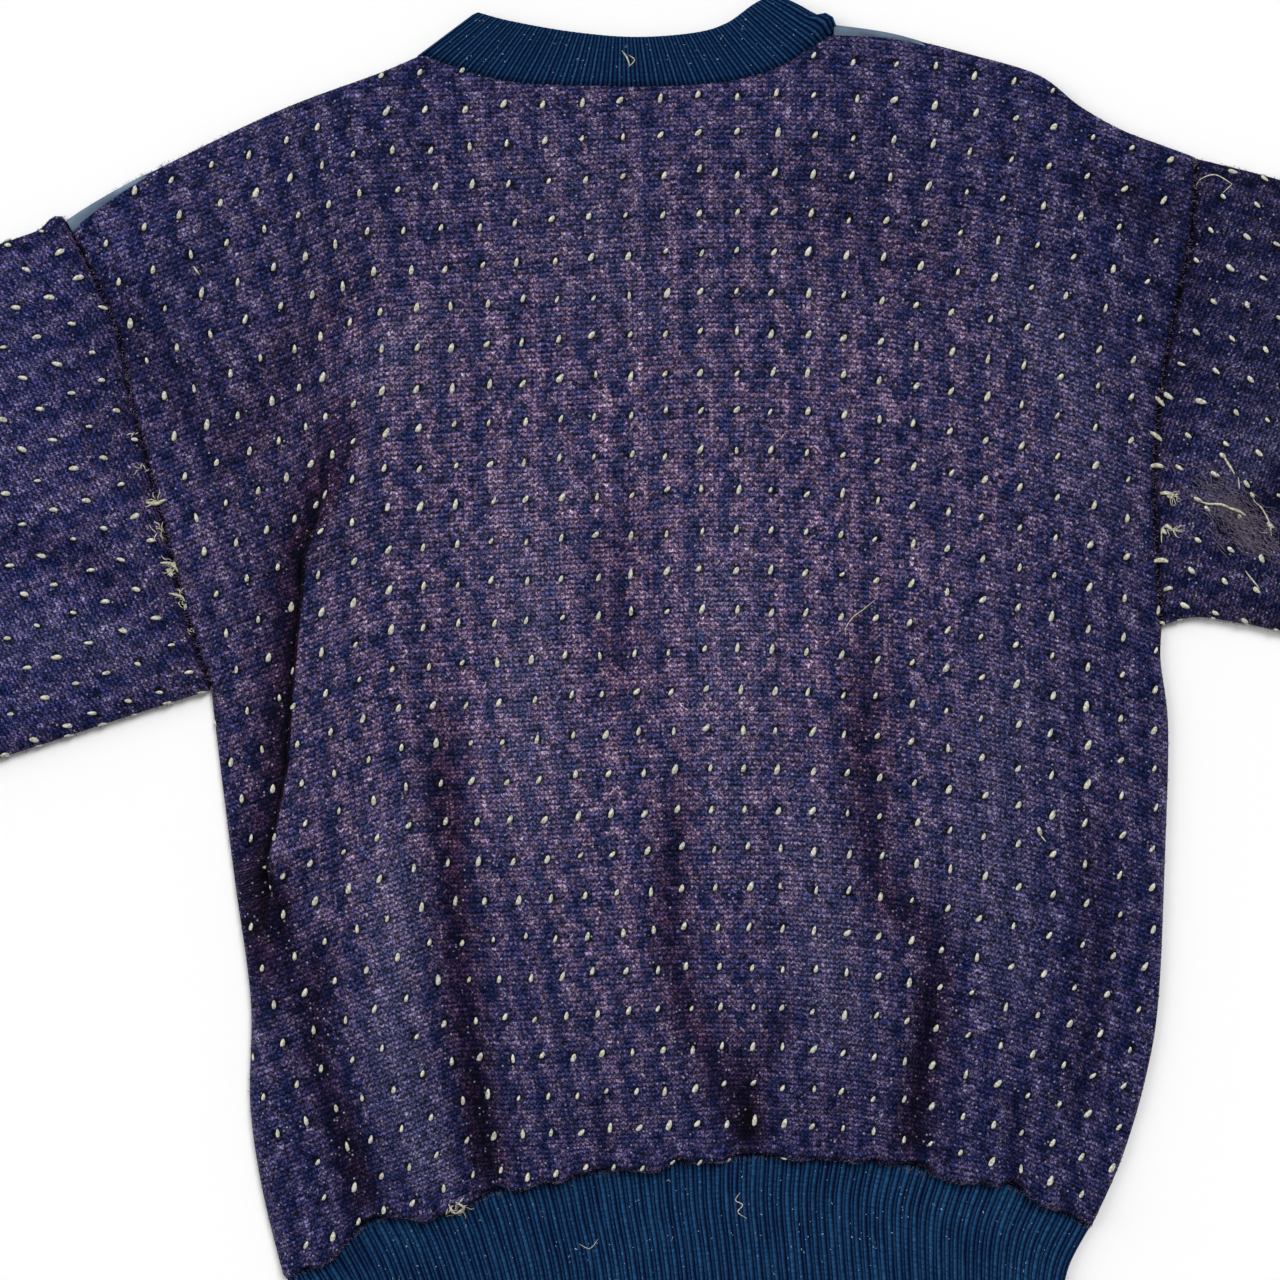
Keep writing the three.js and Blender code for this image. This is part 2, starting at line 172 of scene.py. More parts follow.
def nearCrease(points, path, width):
    # 1 along a crease, fading sideways over its width and softly at its free ends
    way = seamLine(path)(np.linspace(0, 1, 5 * len(path)))
    best = np.full(len(points), 1e9)
    share = np.zeros(len(points))
    for k, (a, b) in enumerate(zip(way, way[1:])):
        along = b - a
        t = np.clip(((points - a) @ along) / (along @ along), 0, 1)
        away = np.hypot(*(points - a - t[:, None] * along).T)
        closer = away < best
        best[closer] = away[closer]
        share[closer] = ((k + t) / (len(way) - 1))[closer]
    fade = smooth(share, -0.05, 0.3)
    if path[-1][1] > -250:
        fade = fade * smooth(1 - share, -0.05, 0.3)
    return bell(best, width) * fade


def relief(points, creases):
    return sum(height * nearCrease(points, path, width) for path, width, height in creases)


def sheetGrid(columns, rows, place, closed=False):
    # a grid moved to where place() puts each column and row, with knit coordinates as its UV map
    # and an attribute of painted shade (negative, down to -2 in painted shadows) or painted highlight
    # (positive, on ridges) at each point
    bm = bmesh.new()
    uvLayer = bm.loops.layers.uv.new("knit")
    shadingLayer = bm.verts.layers.float.new("crease")
    bmesh.ops.create_grid(bm, x_segments=columns - 1, y_segments=rows - 1, size=0.5)
    flat = np.array([v.co[:2] for v in bm.verts]) + 0.5
    col = np.rint(flat[:, 0] * (columns - 1)).astype(int)
    row = np.rint(flat[:, 1] * (rows - 1)).astype(int)
    points, stitches, *depth = place(col, row)
    depth = depth[0] if depth else np.zeros(len(points))
    for vert, point, deep in zip(bm.verts, points * mm, depth):
        vert.co = point
        vert[shadingLayer] = deep
    bm.verts.index_update()
    for face in bm.faces:
        for loop in face.loops:
            loop[uvLayer].uv = stitches[loop.vert.index]
    if closed:
        seamVerts = [v for v, c in zip(bm.verts, col) if c in (0, columns - 1)]
        bmesh.ops.remove_doubles(bm, verts=seamVerts, dist=1e-6)
    return bm


def takeMesh(bm, name):
    mesh = bpy.data.meshes.new(name)
    bm.to_mesh(mesh)
    bm.free()
    return mesh


def putInScene(name, data):
    thing = bpy.data.objects.new(name, data)
    bpy.context.scene.collection.objects.link(thing)
    return thing


def showPiece(bm, name, material, wall=0.0, offset=-1.0, replaces=()):
    mesh = takeMesh(bm, name)
    mesh.shade_smooth()
    mesh.materials.append(material)
    piece = putInScene(name, mesh)
    if wall:
        shell = piece.modifiers.new("wall", "SOLIDIFY")
        shell.thickness = wall * mm
        shell.offset = offset
    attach(piece, "root")
    if replaces:
        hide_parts(*replaces)
    return piece


# Materials

# settings that several nodes share
softly = {"interpolation_type": "SMOOTHSTEP"}
inColour = {"data_type": "RGBA"}


def colour(code):
    # an sRGB hex value as the linear colour that the nodes expect
    parts = [int(code[k:k + 2], 16) / 255 for k in (1, 3, 5)]
    return (*[c / 12.92 if c <= 0.04045 else ((c + 0.055) / 1.055) ** 2.4 for c in parts], 1.0)


def feed(node, links):
    # values and links by socket name or number, where a node stands for its first live output
    for key, value in links.items():
        socket = node.inputs[key]
        if isinstance(value, bpy.types.Node):
            value = next(out for out in value.outputs if out.enabled)
        if isinstance(value, bpy.types.NodeSocket):
            node.id_data.links.new(value, socket)
        else:
            socket.default_value = value


def addNode(tree, kind, *links, **settings):
    # links come in the order of the sockets, or as one dictionary
    new = tree.nodes.new("ShaderNode" + kind)
    for name, value in settings.items():
        setattr(new, name, value)
    feed(new, links[0] if links and isinstance(links[0], dict) else dict(enumerate(links)))
    return new


def setStops(node, stops):
    # colours along a ramp, from pairs of position and hex value
    elements = node.color_ramp.elements
    for element, (at, code) in zip(elements, (stops[0], stops[-1])):
        element.position = at
        element.color = colour(code)
    for at, code in stops[1:-1]:
        elements.new(at).color = colour(code)


def newMaterial(name, roughness, sheen=0.0, specular=0.25):
    # the material, its shader, and addNode for its tree
    material = bpy.data.materials.new(name)
    material.use_nodes = True
    shader = material.node_tree.nodes["Principled BSDF"]
    feed(shader, {"Roughness": roughness, "IOR": 1.5, "Sheen Weight": sheen, "Sheen Roughness": 0.5,
                  "Specular IOR Level": specular})
    return material, shader, partial(addNode, material.node_tree)


# The chart of one repeat, 7 stitches by 8 rows about a cream fleck: where the ground goes dark
# (negative) or light, as (stitch, row, reach across, reach up, strength)
chart = [
    (-2.4, -2.3, 2.0, 2.1, -0.55),
    (-1.0, 2.4, 1.5, 1.8, -0.35),
    (-1.6, 0.2, 1.5, 1.6, -0.3),
    (1.3, 0.2, 1.0, 1.5, -0.2),
    (2.0, 3.4, 1.0, 1.5, 0.28),
    (2.0, 1.3, 1.0, 1.4, 0.28),
    (2.0, -3.0, 1.0, 1.4, 0.2),
    (0.0, -2.5, 1.0, 1.2, 0.35),
    (-0.75, -4.0, 1.0, 1.2, 0.3),
]

jerseyYarn = {
    "ground": [(0, "#19244f"), (0.28, "#32365e"), (0.5, "#564a70"), (0.74, "#7c6581"), (1, "#a18ea8")],
    "paintedLight": "#ffffff",           # painted light: the tint in the middle of the back
    "paintedShade": "#9bafce",         # painted shade: the darker, bluer tint towards hem and sides
    # where the painted light is brightest, and how quickly it falls off
    "lightMiddle": (-0.02, 0.07, 0),
    "lightSpread": (2.3, 2.1, 0),
    "rightSleeve": 0.7,          # right sleeve painted darker than the back, as shade
    "leftSleeve": 1.36,          # left sleeve painted lighter than the back, as light
    # painted shade in the creases, painted shadow where they are deepest, painted highlight on the ridges
    "creaseShade": "#aa90a4", "deepShadow": "#64546c", "ridgeHighlight": "#6c6c90",
    "fibre": "#d3cbdc",
    "grainPerMetre": 900.0,      # fibre grain of about 1.1 mm
    "pricksPerMetre": 520.0,     # loose fibre about every 2 mm
    "cloudsPerMetre": 7.0,       # painted light and shade broken into clouds of about 14 cm
    "bumpDepth": 0.9,
}


def jerseyWool():
    # Lambswool jacquard jersey, machine knitted: matt and slightly hazy, a mottled plum and navy
    # ground with a column of lighter marl in each repeat, with painted light in the middle of the back and
    # painted shade towards its edges and in its creases
    s = jerseyYarn
    material, shader, add = newMaterial("lambswool jacquard jersey, machine knitted", 1.0, specular=0.1)
    uv = add("UVMap", uv_map="knit")
    place = add("TexCoord").outputs["Object"]
    halfRepeat = Vector((knit["acrossRepeat"] / 2, knit["upRepeat"] / 2, 1))
    # yarn wanders a little, so that neither rows nor chart have ruled edges
    wander = add("TexNoise", {"Vector": uv, "Scale": 0.8, "Detail": 3.0, "Roughness": 0.75})
    wander = add("VectorMath", wander.outputs["Color"], (0.5, 0.5, 0.5), operation="SUBTRACT")
    loose = add("VectorMath", wander, (3.4, 3.4, 0), uv, operation="MULTIPLY_ADD")
    strand = add("VectorMath", wander, (0.9, 1.0, 0), uv, operation="MULTIPLY_ADD")
    shifted = add("VectorMath", strand, (0.5, 0.5, 0), operation="ADD")
    cell = add("VectorMath", shifted, operation="FLOOR")
    inCell = add("VectorMath", strand, cell, operation="SUBTRACT")
    # each stitch a shallow V, dark between the rows and less so between the columns
    split = add("SeparateXYZ", inCell)
    side = add("Math", split.outputs[0], operation="ABSOLUTE")
    raised = add("Math", side, -0.85, split.outputs[1], operation="MULTIPLY_ADD")
    turn = add("Math", raised, -0.5, 0.5, operation="WRAP")
    away = add("Math", turn, operation="ABSOLUTE")
    leg = add("MapRange", away, 0.46, 0.12, **softly)
    edge = add("MapRange", side, 0.5, 0.3, 0.25, **softly)
    stitch = add("Math", leg, edge, operation="MULTIPLY")
    charted = None
    for across, up, wide, tall, strength in chart:
        away = add("VectorMath", loose, (across, up, 0), operation="SUBTRACT")
        wrapped = add("VectorMath", away, halfRepeat, -halfRepeat, operation="WRAP")
        scaled = add("VectorMath", wrapped, (1 / wide, 1 / tall, 0), operation="MULTIPLY")
        reach = add("VectorMath", scaled, operation="LENGTH").outputs["Value"]
        spot = add("MapRange", reach, 1.5, 0.1, 0, strength, **softly)
        charted = spot if charted is None else add("Math", charted, spot, operation="ADD")
    # marl: each stitch its own mix of the two yarns, with broader streaks where the dye lot changes
    marl = add("TexWhiteNoise", cell, noise_dimensions="3D")
    marl = add("Math", marl, 0.9, -0.42, operation="MULTIPLY_ADD")
    streak = add("TexNoise", {"Vector": uv, "Scale": 0.16, "Detail": 4.0, "Roughness": 0.65})
    streak = add("Math", streak, 1.7, -0.85, operation="MULTIPLY_ADD")
    tone = add("Math", charted, marl, operation="ADD")
    tone = add("Math", tone, streak, operation="ADD")
    tone = add("MapRange", tone, -1, 1)
    ground = add("ValToRGB", tone)
    setStops(ground, s["ground"])
    # painted shade: the ground is painted darker round each raised fleck
    fromFleck = add("VectorMath", uv, halfRepeat, -halfRepeat, operation="WRAP")
    fromFleck = add("VectorMath", fromFleck, operation="LENGTH").outputs["Value"]
    fleckShade = add("MapRange", fromFleck, 0.7, 1.35, 0.3, **softly)
    # painted light and shade: brightest in the middle of the back, painted darker and bluer towards hem and
    # sides
    fromMiddle = add("VectorMath", place, s["lightMiddle"], operation="SUBTRACT")
    fromMiddle = add("VectorMath", fromMiddle, s["lightSpread"], operation="MULTIPLY")
    lightFalloff = add("VectorMath", fromMiddle, operation="LENGTH").outputs["Value"]
    cloudy = add("TexNoise", {"Vector": place, "Scale": s["cloudsPerMetre"], "Detail": 3.0})
    lightFalloff = add("Math", cloudy, 0.5, lightFalloff, operation="MULTIPLY_ADD")
    lightFalloff = add("MapRange", lightFalloff, 1.15, 0.3, **softly)
    tint = add("Mix", {0: lightFalloff, 6: colour(s["paintedShade"]), 7: colour(s["paintedLight"])}, **inColour)
    paintedLight = add("Mix", {0: 1.0, 6: ground, 7: tint}, blend_type="MULTIPLY", **inColour)
    # painted light and shade by region: the right sleeve darker and the left sleeve lighter than the back
    sideways = add("SeparateXYZ", place).outputs[0]
    onRight = add("MapRange", sideways, 0.27, 0.36, 1, s["rightSleeve"])
    onLeft = add("MapRange", sideways, -0.26, -0.36, 1, s["leftSleeve"])
    onSleeves = add("Math", onRight, onLeft, operation="MULTIPLY")
    paintedLight = add("VectorMath", {0: paintedLight, 3: onSleeves}, operation="SCALE")
    # painted shade: darker in the creases and darkest in the painted shadows, with a painted highlight on
    # the ridges
    crease = add("Attribute", attribute_name="crease").outputs["Fac"]
    for look, low, high, strength, blend in (
        ("creaseShade", 0, -1, 1, "MULTIPLY"), ("deepShadow", -1, -2, 1, "MULTIPLY"), ("ridgeHighlight", 0, 1, 0.35, "MIX"),
    ):
        share = add("MapRange", crease, low, high, 0, strength)
        paintedLight = add("Mix", {0: share, 6: paintedLight, 7: colour(s[look])}, blend_type=blend, **inColour)
    # fibre: fine light and dark grain, and every loop of yarn its own shade
    grain = add("TexNoise", {"Vector": place, "Scale": s["grainPerMetre"], "Detail": 3.0, "Roughness": 0.8})
    grain = add("MapRange", grain, 0.36, 0.66, 0, 2.35)
    gaps = add("MapRange", stitch, 0, 1, 0.28, 1.35)
    loop = add("VectorMath", strand, (2.0, 1.9, 0), operation="MULTIPLY")
    loop = add("VectorMath", loop, operation="FLOOR")
    loop = add("TexWhiteNoise", loop, noise_dimensions="3D")
    loop = add("MapRange", loop, 0, 1, 0.35, 1.8)
    shade = add("Math", gaps, grain, operation="MULTIPLY")
    shade = add("Math", shade, loop, operation="MULTIPLY")
    shade = add("Math", shade, fleckShade, operation="MULTIPLY")
    shaded = add("VectorMath", {0: paintedLight, 3: shade}, operation="SCALE")
    # pinpricks of pale fibre standing out of the yarn, thickest along the marl
    pale = add("TexVoronoi", {"Vector": place, "Scale": s["pricksPerMetre"]}, feature="F1")
    lot = add("SeparateXYZ", pale.outputs["Color"])
    odds = add("Math", charted, 0.14, lot.outputs[0], operation="MULTIPLY_ADD")
    chosen = add("Math", odds, 0.82, operation="GREATER_THAN")
    near = add("MapRange", pale.outputs["Distance"], 0.4, 0.12, 0, 0.7)
    bright = add("Math", near, lot.outputs[1], operation="MULTIPLY")
    prick = add("Math", chosen, bright, operation="MULTIPLY")
    final = add("Mix", {0: prick, 6: shaded, 7: colour(s["fibre"])}, **inColour)
    height = add("Math", grain, 0.3, stitch, operation="MULTIPLY_ADD")
    bump = add("Bump", {"Height": height, "Strength": 0.8, "Distance": s["bumpDepth"] * mm})
    feed(shader, {"Base Color": final, "Normal": bump})
    return material


ribYarn = {"ground": [(0.32, "#032a4e"), (0.68, "#28557f")], "furrow": "#000728", "bumpDepth": 0.8}


def ribWool():
    # 1x1 rib in wool, machine knitted: matt teal navy, thin raised lines with dark furrows between,
    # every second furrow deeper where the knit face turns under
    material, shader, add = newMaterial("wool 1x1 rib, machine knitted", 1.0, specular=0.08)
    uv = add("UVMap", uv_map="knit")
    stretched = add("VectorMath", uv, (0.8, 0.1, 0), operation="MULTIPLY")
    sway = add("TexNoise", {"Vector": stretched, "Scale": 1.0, "Detail": 2.0})
    split = add("SeparateXYZ", uv)
    drift = add("Math", sway, 0.22, split.outputs[0], operation="MULTIPLY_ADD")
    whole = add("Math", drift, -0.5, 0.5, operation="WRAP")
    whole = add("Math", whole, operation="ABSOLUTE")
    twice = add("Math", drift, 2.0, operation="MULTIPLY")
    half = add("Math", twice, -0.5, 0.5, operation="WRAP")
    side = add("Math", half, operation="ABSOLUTE")
    lean = add("Math", side, -1.1, split.outputs[1], operation="MULTIPLY_ADD")
    turn = add("Math", lean, -0.5, 0.5, operation="WRAP")
    away = add("Math", turn, operation="ABSOLUTE")
    leg = add("MapRange", away, 0.5, 0.2, 0.75, **softly)
    ridge = add("MapRange", side, 0.4, 0.06, **softly)
    deep = add("MapRange", whole, 0.5, 0.3, 0.45, **softly)
    raised = add("Math", ridge, deep, operation="MULTIPLY")
    loops = add("Math", raised, leg, operation="MULTIPLY")
    # each rib has its own depth of dye
    number = add("Math", twice, 0.5, operation="ADD")
    number = add("Math", number, operation="FLOOR")
    lot = add("TexWhiteNoise", {"W": number}, noise_dimensions="1D")
    uneven = add("MapRange", lot, 0, 1, 0.85, 1.2)
    shade = add("Math", loops, uneven, operation="MULTIPLY")
    wool = add("TexNoise", {"Vector": uv, "Scale": 1.6, "Detail": 4.0, "Roughness": 0.8})
    ground = add("ValToRGB", wool)
    setStops(ground, ribYarn["ground"])
    shaded = add("Mix", {0: shade, 6: colour(ribYarn["furrow"]), 7: ground}, **inColour)
    bump = add("Bump", {"Height": loops, "Strength": 0.7, "Distance": ribYarn["bumpDepth"] * mm})
    feed(shader, {"Base Color": shaded, "Normal": bump})
    return material


yokeHide = {
    "ground": [(0.35, "#445669"), (0.7, "#66788c")],
    "pebblesPerMetre": 900.0,    # pebble of about 1.1 mm
    "patchesPerMetre": 60.0,     # worn patches of about 17 mm
    "bumpDepth": 0.2,
}


def yokeLeather():
    # Dyed split-grain leather: a soft satin slate blue with fine pebble, with painted shade where its rim
    # turns under and is tucked in
    s = yokeHide
    material, shader, add = newMaterial("dyed grain leather, drummed", 0.55)
    place = add("TexCoord").outputs["Object"]
    pebble = add("TexVoronoi", {"Vector": place, "Scale": s["pebblesPerMetre"]}, feature="DISTANCE_TO_EDGE")
    wear = add("TexNoise", {"Vector": place, "Scale": s["patchesPerMetre"], "Detail": 4.0})
    ground = add("ValToRGB", wear)
    setStops(ground, s["ground"])
    # painted shade, read from the attribute the yoke pieces carry
    under = add("Attribute", attribute_name="crease").outputs["Fac"]
    under = add("MapRange", under, -1, 0, 0.08)
    shaded = add("VectorMath", {0: ground, 3: under}, operation="SCALE")
    bump = add("Bump", {"Height": pebble, "Strength": 0.5, "Distance": s["bumpDepth"] * mm})
    feed(shader, {"Base Color": shaded, "Normal": bump})
    return material


spun = {
    "pliesPerMetre": 700.0,      # plies of about 1.4 mm
    "bumpDepth": 0.3,
}


def spunYarn(name, dark, light):
    # Loosely spun wool yarn: matt, uneven, a little darker between its plies
    material, shader, add = newMaterial(name, 0.9, sheen=0.1)
    place = add("TexCoord").outputs["Object"]
    plies = add("TexNoise", {"Vector": place, "Scale": spun["pliesPerMetre"], "Detail": 3.0})
    ground = add("ValToRGB", plies)
    setStops(ground, [(0.32, dark), (0.62, light)])
    bump = add("Bump", {"Height": plies, "Strength": 0.5, "Distance": spun["bumpDepth"] * mm})
    feed(shader, {"Base Color": ground, "Normal": bump})
    return material


finishes = {
    "jersey": jerseyWool(),
    "rib": ribWool(),
    "leather": yokeLeather(),
    "fleck": spunYarn("slubbed cream wool, knitted in", "#868678", "#d2d1c4"),
    "cream": spunYarn("cream darning wool, two ply", "#807c68", "#cfcbb8"),
    "plumFuzz": spunYarn("plum wool, loose fibre", "#3b3355", "#7a6d90"),
    "lint": spunYarn("white lint", "#6d8197", "#b3c2d0"),
    "darn": spunYarn("grey brown wool, pulled and felted", "#3a3146", "#6e6475"),
}
print("materials made")

# The back

backPanel = {
    "length": 640,               # from hem to shoulder
    "loft": 8.0,                 # how far the middle stands above its base
    "sideRoll": 8.0,             # reach of the roll at the side seams
    "hemRoll": 4.6,              # radius of the roll that puffs over the welt
    "rows": 185, "hemRows": 10, "wedgeColumns": 27,
    "columnSpacing": 4.1,
    "lastColumns": [9, 6.4, 4.4, 2.9, 1.7, 0.8, 0.2, 0],     # from the right side seam
    # path, half width, height: troughs are negative
    "creases": [
        ([(-137, 32), (-139, -85), (-134, -200), (-125, -272)], 14, -7.5),
        ([(-165, -42), (-171, -130), (-176, -200), (-158, -272)], 17, 4.5),
        ([(-212, -109), (-222, -170), (-221, -210), (-200, -282)], 13, -7.0),
        ([(-21, 123), (-34, 40), (-36, -27)], 17, -3.2),
        ([(-71, 173), (-85, 60), (-88, -117)], 26, 3.2),
        ([(31, 120), (24, 0), (16, -123)], 22, 2.8),
        ([(5, -18), (-14, -144), (4, -215), (24, -262)], 13, -6.0),
        ([(59, -172), (32, -229), (24, -262)], 10, -4.5),
        ([(115, 68), (104, -105), (141, -165), (118, -272)], 14, -6.0),
        ([(76, -40), (74, -150), (74, -240)], 20, 3.4),
        ([(190, 30), (172, -110), (176, -220)], 26, 2.6),
        ([(228, -60), (232, -150), (214, -250)], 14, -4.0),
        ([(-125, 234), (-182, 168)], 18, 3.6),
        ([(-150, 262), (-215, 200), (-262, 110)], 16, -3.6),
        ([(-323, 270), (-290, 205), (-247, 137)], 17, -3.8),
        ([(240, 280), (275, 268), (316, 250)], 15, -4.0),
        ([(180, 260), (232, 170), (252, 60)], 24, 2.4),
        ([(60, 320), (130, 250), (205, 220)], 26, -2.0),
        ([(-40, 330), (-30, 250), (10, 190)], 30, 1.6),
        ([(135, -160), (127, -215), (119, -262), (118, -278)], 7, -4.5),
        ([(18, -195), (23, -235), (25, -272)], 7, -4.0),
        ([(-135, -205), (-131, -250), (-127, -286)], 7, -4.0),
        ([(-208, -215), (-206, -250), (-200, -290)], 7, -3.0),
        ([(-58, -225), (-60, -250), (-60, -276)], 8, -2.5),
        ([(72, -225), (74, -250), (72, -278)], 8, -2.5),
        ([(178, -235), (178, -262), (176, -300)], 8, -3.0),
    ],
    "pinches": [(-200, 0.9), (-125, 1.0), (-60, 0.3), (24, 1.0), (72, 0.3), (118, 1.0), (176, 0.6)],
    # the deep pleat on the left: its lip, and how its cloth doubles back beneath it
    "lip": [(-176, 250), (-194, 152), (-213, 89), (-224, 19), (-231, -34), (-245, -85), (-250, -120),
            (-252, -340)],
    "bend": 1.65, "underlap": 17.0,
}

# How the flecks lie: the height of one row, and where the middle column runs and how far apart the
# columns are, down the rows
fleckRows = {
    "rise": 22.9, "first": 229,
    "row": [-23, -20, -14, -8, 0, 5, 7],
    "middle": [-14, -14, -15, -15, -5, -2, -1.5],
    "spacing": [16.2, 17, 19.3, 20, 20.6, 22.6, 23],
}


def latticeAt(points):
    # knit coordinates of a plan point: fleck columns lean and close up towards the hem,
    # and fleck rows droop towards the sides, as the cloth lies
    s = fleckRows
    x, y = points[:, 0], points[:, 1]
    j = (y - s["first"]) / s["rise"]
    for _ in range(4):
        middle = np.interp(j, s["row"], s["middle"])
        i = (x - middle) / np.interp(j, s["row"], s["spacing"]) - 3.5
        droop = np.where(i < -11, -6 * (i + 11), 0.32 * np.maximum(i + 3, 0) ** 2)
        j = (y + droop - s["first"]) / s["rise"]
    return np.stack([i * knit["acrossRepeat"], j * knit["upRepeat"]], -1)


backPlan = span(
    lines["hem"],
    chain([lines["backShoulderLeft"], lines["neckBack"], lines["backShoulderRight"]],
          [cut["neckFrom"], cut["neckTo"]]),
    chain([lines["sideLeft"], lines["backArmLeft"]], [cut["underarm"]]),
    chain([lines["sideRight"], lines["armRight"]], [cut["underarm"]]),
)


def pinchAt(x):
    # how tightly the hem is gathered: 0 between the pleats to 1 in them
    tight = sum(amount * bell(x - at, 11) for at, amount in backPanel["pinches"])
    return np.clip(tight + 0.42 * (1 + np.cos(x / 4.1 + 2.2 * np.sin(x / 13))) / 2, 0, 1)


def makeBack():
    s = backPanel
    v = np.concatenate([np.zeros(s["hemRows"]), np.linspace(0, 1, s["rows"]) ** 1.03])
    rollTurn = np.concatenate([np.linspace(0, 1, s["hemRows"], endpoint=False), np.ones(s["rows"])])
    # across: the left wedge, the pleat's two bends and its hidden run, then the rest of the back
    wedge = np.linspace(0, 1, s["wedgeColumns"]) ** 1.55
    bendSteps, holdSteps, mainWidth = 7, 5, 500
    pleatSteps = 2 * bendSteps + holdSteps
    main = np.arange(0, 488, s["columnSpacing"]) / mainWidth
    main = np.concatenate([main, 1 - np.array(s["lastColumns"]) / mainWidth])
    columns = len(wedge) + pleatSteps + len(main) - 1
    # each row's own measures: its width, where the lip crosses it and how far the pleat is folded
    width = np.hypot(*(backPlan(1.0, v) - backPlan(0.0, v)).T)
    u = np.linspace(0, 1, 500)
    grid = backPlan(u[None, :], v[:, None])
    lip = np.array(s["lip"][::-1], float)
    past = grid[..., 0] > np.interp(grid[..., 1], lip[:, 1], lip[:, 0])
    lipAt = np.argmax(past, axis=1)
    lipY = grid[np.arange(len(v)), lipAt, 1]
    lipX = np.maximum(u[lipAt] * width, 12)
    fold = smooth(lipY, -130, -74) * (1 - smooth(lipY, 70, 160))
    # how far down the pleat its painted shadow beneath the lip reaches
    lipShadowReach = smooth(lipY, -200, -100) * (1 - smooth(lipY, 70, 230))
    hold = s["underlap"] * smooth(fold, 0.6, 1)
    theta = np.maximum(math.pi * fold, 1e-3)
    radius = math.pi * s["bend"] / theta
    start = lipX + fold * (hold + s["bend"] + cut["jersey"] / 2)
    base = cut["upperLayer"] + cut["jersey"] / 2         # the middle of the wall, lying flat

    def swellAt(run, fromSide, w, vv):
        # what lifts the cloth above its base: its loft, and its creases
        loft = s["loft"] * smooth(fromSide, 0, 50) * smooth(1 - vv, 0, 0.08)
        return loft * smooth(vv * s["length"], -20, 50), relief(backPlan(run / w, vv), s["creases"])

    def place(col, row):
        w, th, rad, hd, f = width[row], theta[row], radius[row], hold[row], fold[row]
        vv = v[row]
        inWedge, inMain = col < len(wedge), col >= len(wedge) + pleatSteps - 1
        # out to the lip, round the first bend, back beneath it, and round the second
        k = np.clip(col - len(wedge) + 1, 0, pleatSteps)
        one = np.clip(k / bendSteps, 0, 1) * th
        flat = np.clip((k - bendSteps) / holdSteps, 0, 1) * hd
        two = np.clip((k - bendSteps - holdSteps) / bendSteps, 0, 1) * th
        across = rad * np.sin(one) + flat * np.cos(th) + rad * (np.sin(th) - np.sin(th - two))
        rise = rad * (1 - np.cos(one)) + flat * np.sin(th) + rad * (np.cos(th - two) - np.cos(th))
        endRise = 2 * rad * (1 - np.cos(th)) + hd * np.sin(th)
        begin = start[row]
        end = begin + (2 * rad * np.sin(th) + hd * np.cos(th))
        mainShare = main[np.clip(col - len(wedge) - pleatSteps + 1, 0, len(main) - 1)]
        run = np.where(inWedge, wedge[np.minimum(col, len(wedge) - 1)] * begin,
                       np.where(inMain, end + mainShare * (w - end), begin + across))
        share = run / w
        plan = backPlan(share, vv)
        # heights of the middle of the wall
        fromSide = np.minimum(run, w - run)
        aboveHem = vv * s["length"]
        loft, folds = swellAt(run, fromSide, w, vv)
        plain = base + np.maximum(loft + folds * smooth(fromSide, 0, 14), -0.4)
        low = base + 0.4 + (1 - f) * (np.maximum(sum(swellAt(begin, begin, w, vv)), 0) - 0.4)
        wedgeZ = base + (plain - base) * (1 - 0.9 * f) + 0.4 * f * smooth(run, 0, 12)
        z = np.where(inWedge, wedgeZ, low + rise)
        endPlain = base + np.maximum(sum(swellAt(end, end, w, vv)), -0.4)
        z = np.where(inMain, plain + (low + endRise - endPlain) * bell(run - end, 30), z)
        # a fat rolled edge below the pleat, where the spare cloth is tucked under
        tucked = smooth(-plan[:, 1], 70, 130) * smooth(plan[:, 1], -322, -270)
        z = z + 3.2 * tucked * bell(run - 11, 12)
        # the hem: jersey rolls out over the welt and back
        pinch = pinchAt(plan[:, 0])
        sides = smooth(fromSide, 0, 24)
        rollRadius = s["hemRoll"] * (0.5 + 0.62 * (1 - pinch)) * (0.35 + 0.65 * sides)
        turn = np.radians(-100 - 170 * rollTurn[row])
        up = backPlan(share, np.full_like(share, 0.02)) - backPlan(share, np.zeros_like(share))
        up /= np.hypot(*up.T)[:, None]
        inRoll = rollTurn[row] < 1
        lumps = 1.5 * np.sin(plan[:, 0] / 9.3 + 1.1 * np.sin(plan[:, 0] / 31))
        lumps = lumps + 1.0 * np.sin(plan[:, 0] / 4.4 + 2)
        out = np.where(inRoll, rollRadius * (0.5 + np.cos(turn)),
                       rollRadius * 0.5 * (1 - smooth(aboveHem, 0, 45)))
        out = out - (lumps * sides - 3.2 * pinch) * bell(aboveHem, 11)
        plan = plan + up * out[:, None]
        rollTop = base + rollRadius * 1.985
        rollZ = base + rollRadius * (0.985 + np.sin(turn))
        settled = z + np.maximum(rollTop - z, -1.5) * np.exp(-((aboveHem / 17) ** 1.5))
        z = np.where(inRoll, rollZ + (settled - rollTop) * rollTurn[row], settled)
        z = z + 0.7 * pinch * (1 - pinch) * bell(aboveHem - 14, 12)
        # side seams roll down to the table; armhole and shoulder edges dip into their seams
        below = 1 - smooth(vv, cut["underarm"] - 0.035, cut["underarm"] + 0.01)
        rolled = 1.5 + (z - 1.5) * quarterRound(fromSide / s["sideRoll"])
        groove = z - 2.2 * bell(fromSide, 3.2)
        z = groove + (rolled - groove) * below
        z = z - 1.1 * bell((1 - vv) * s["length"], 3.0) * (1 - below)
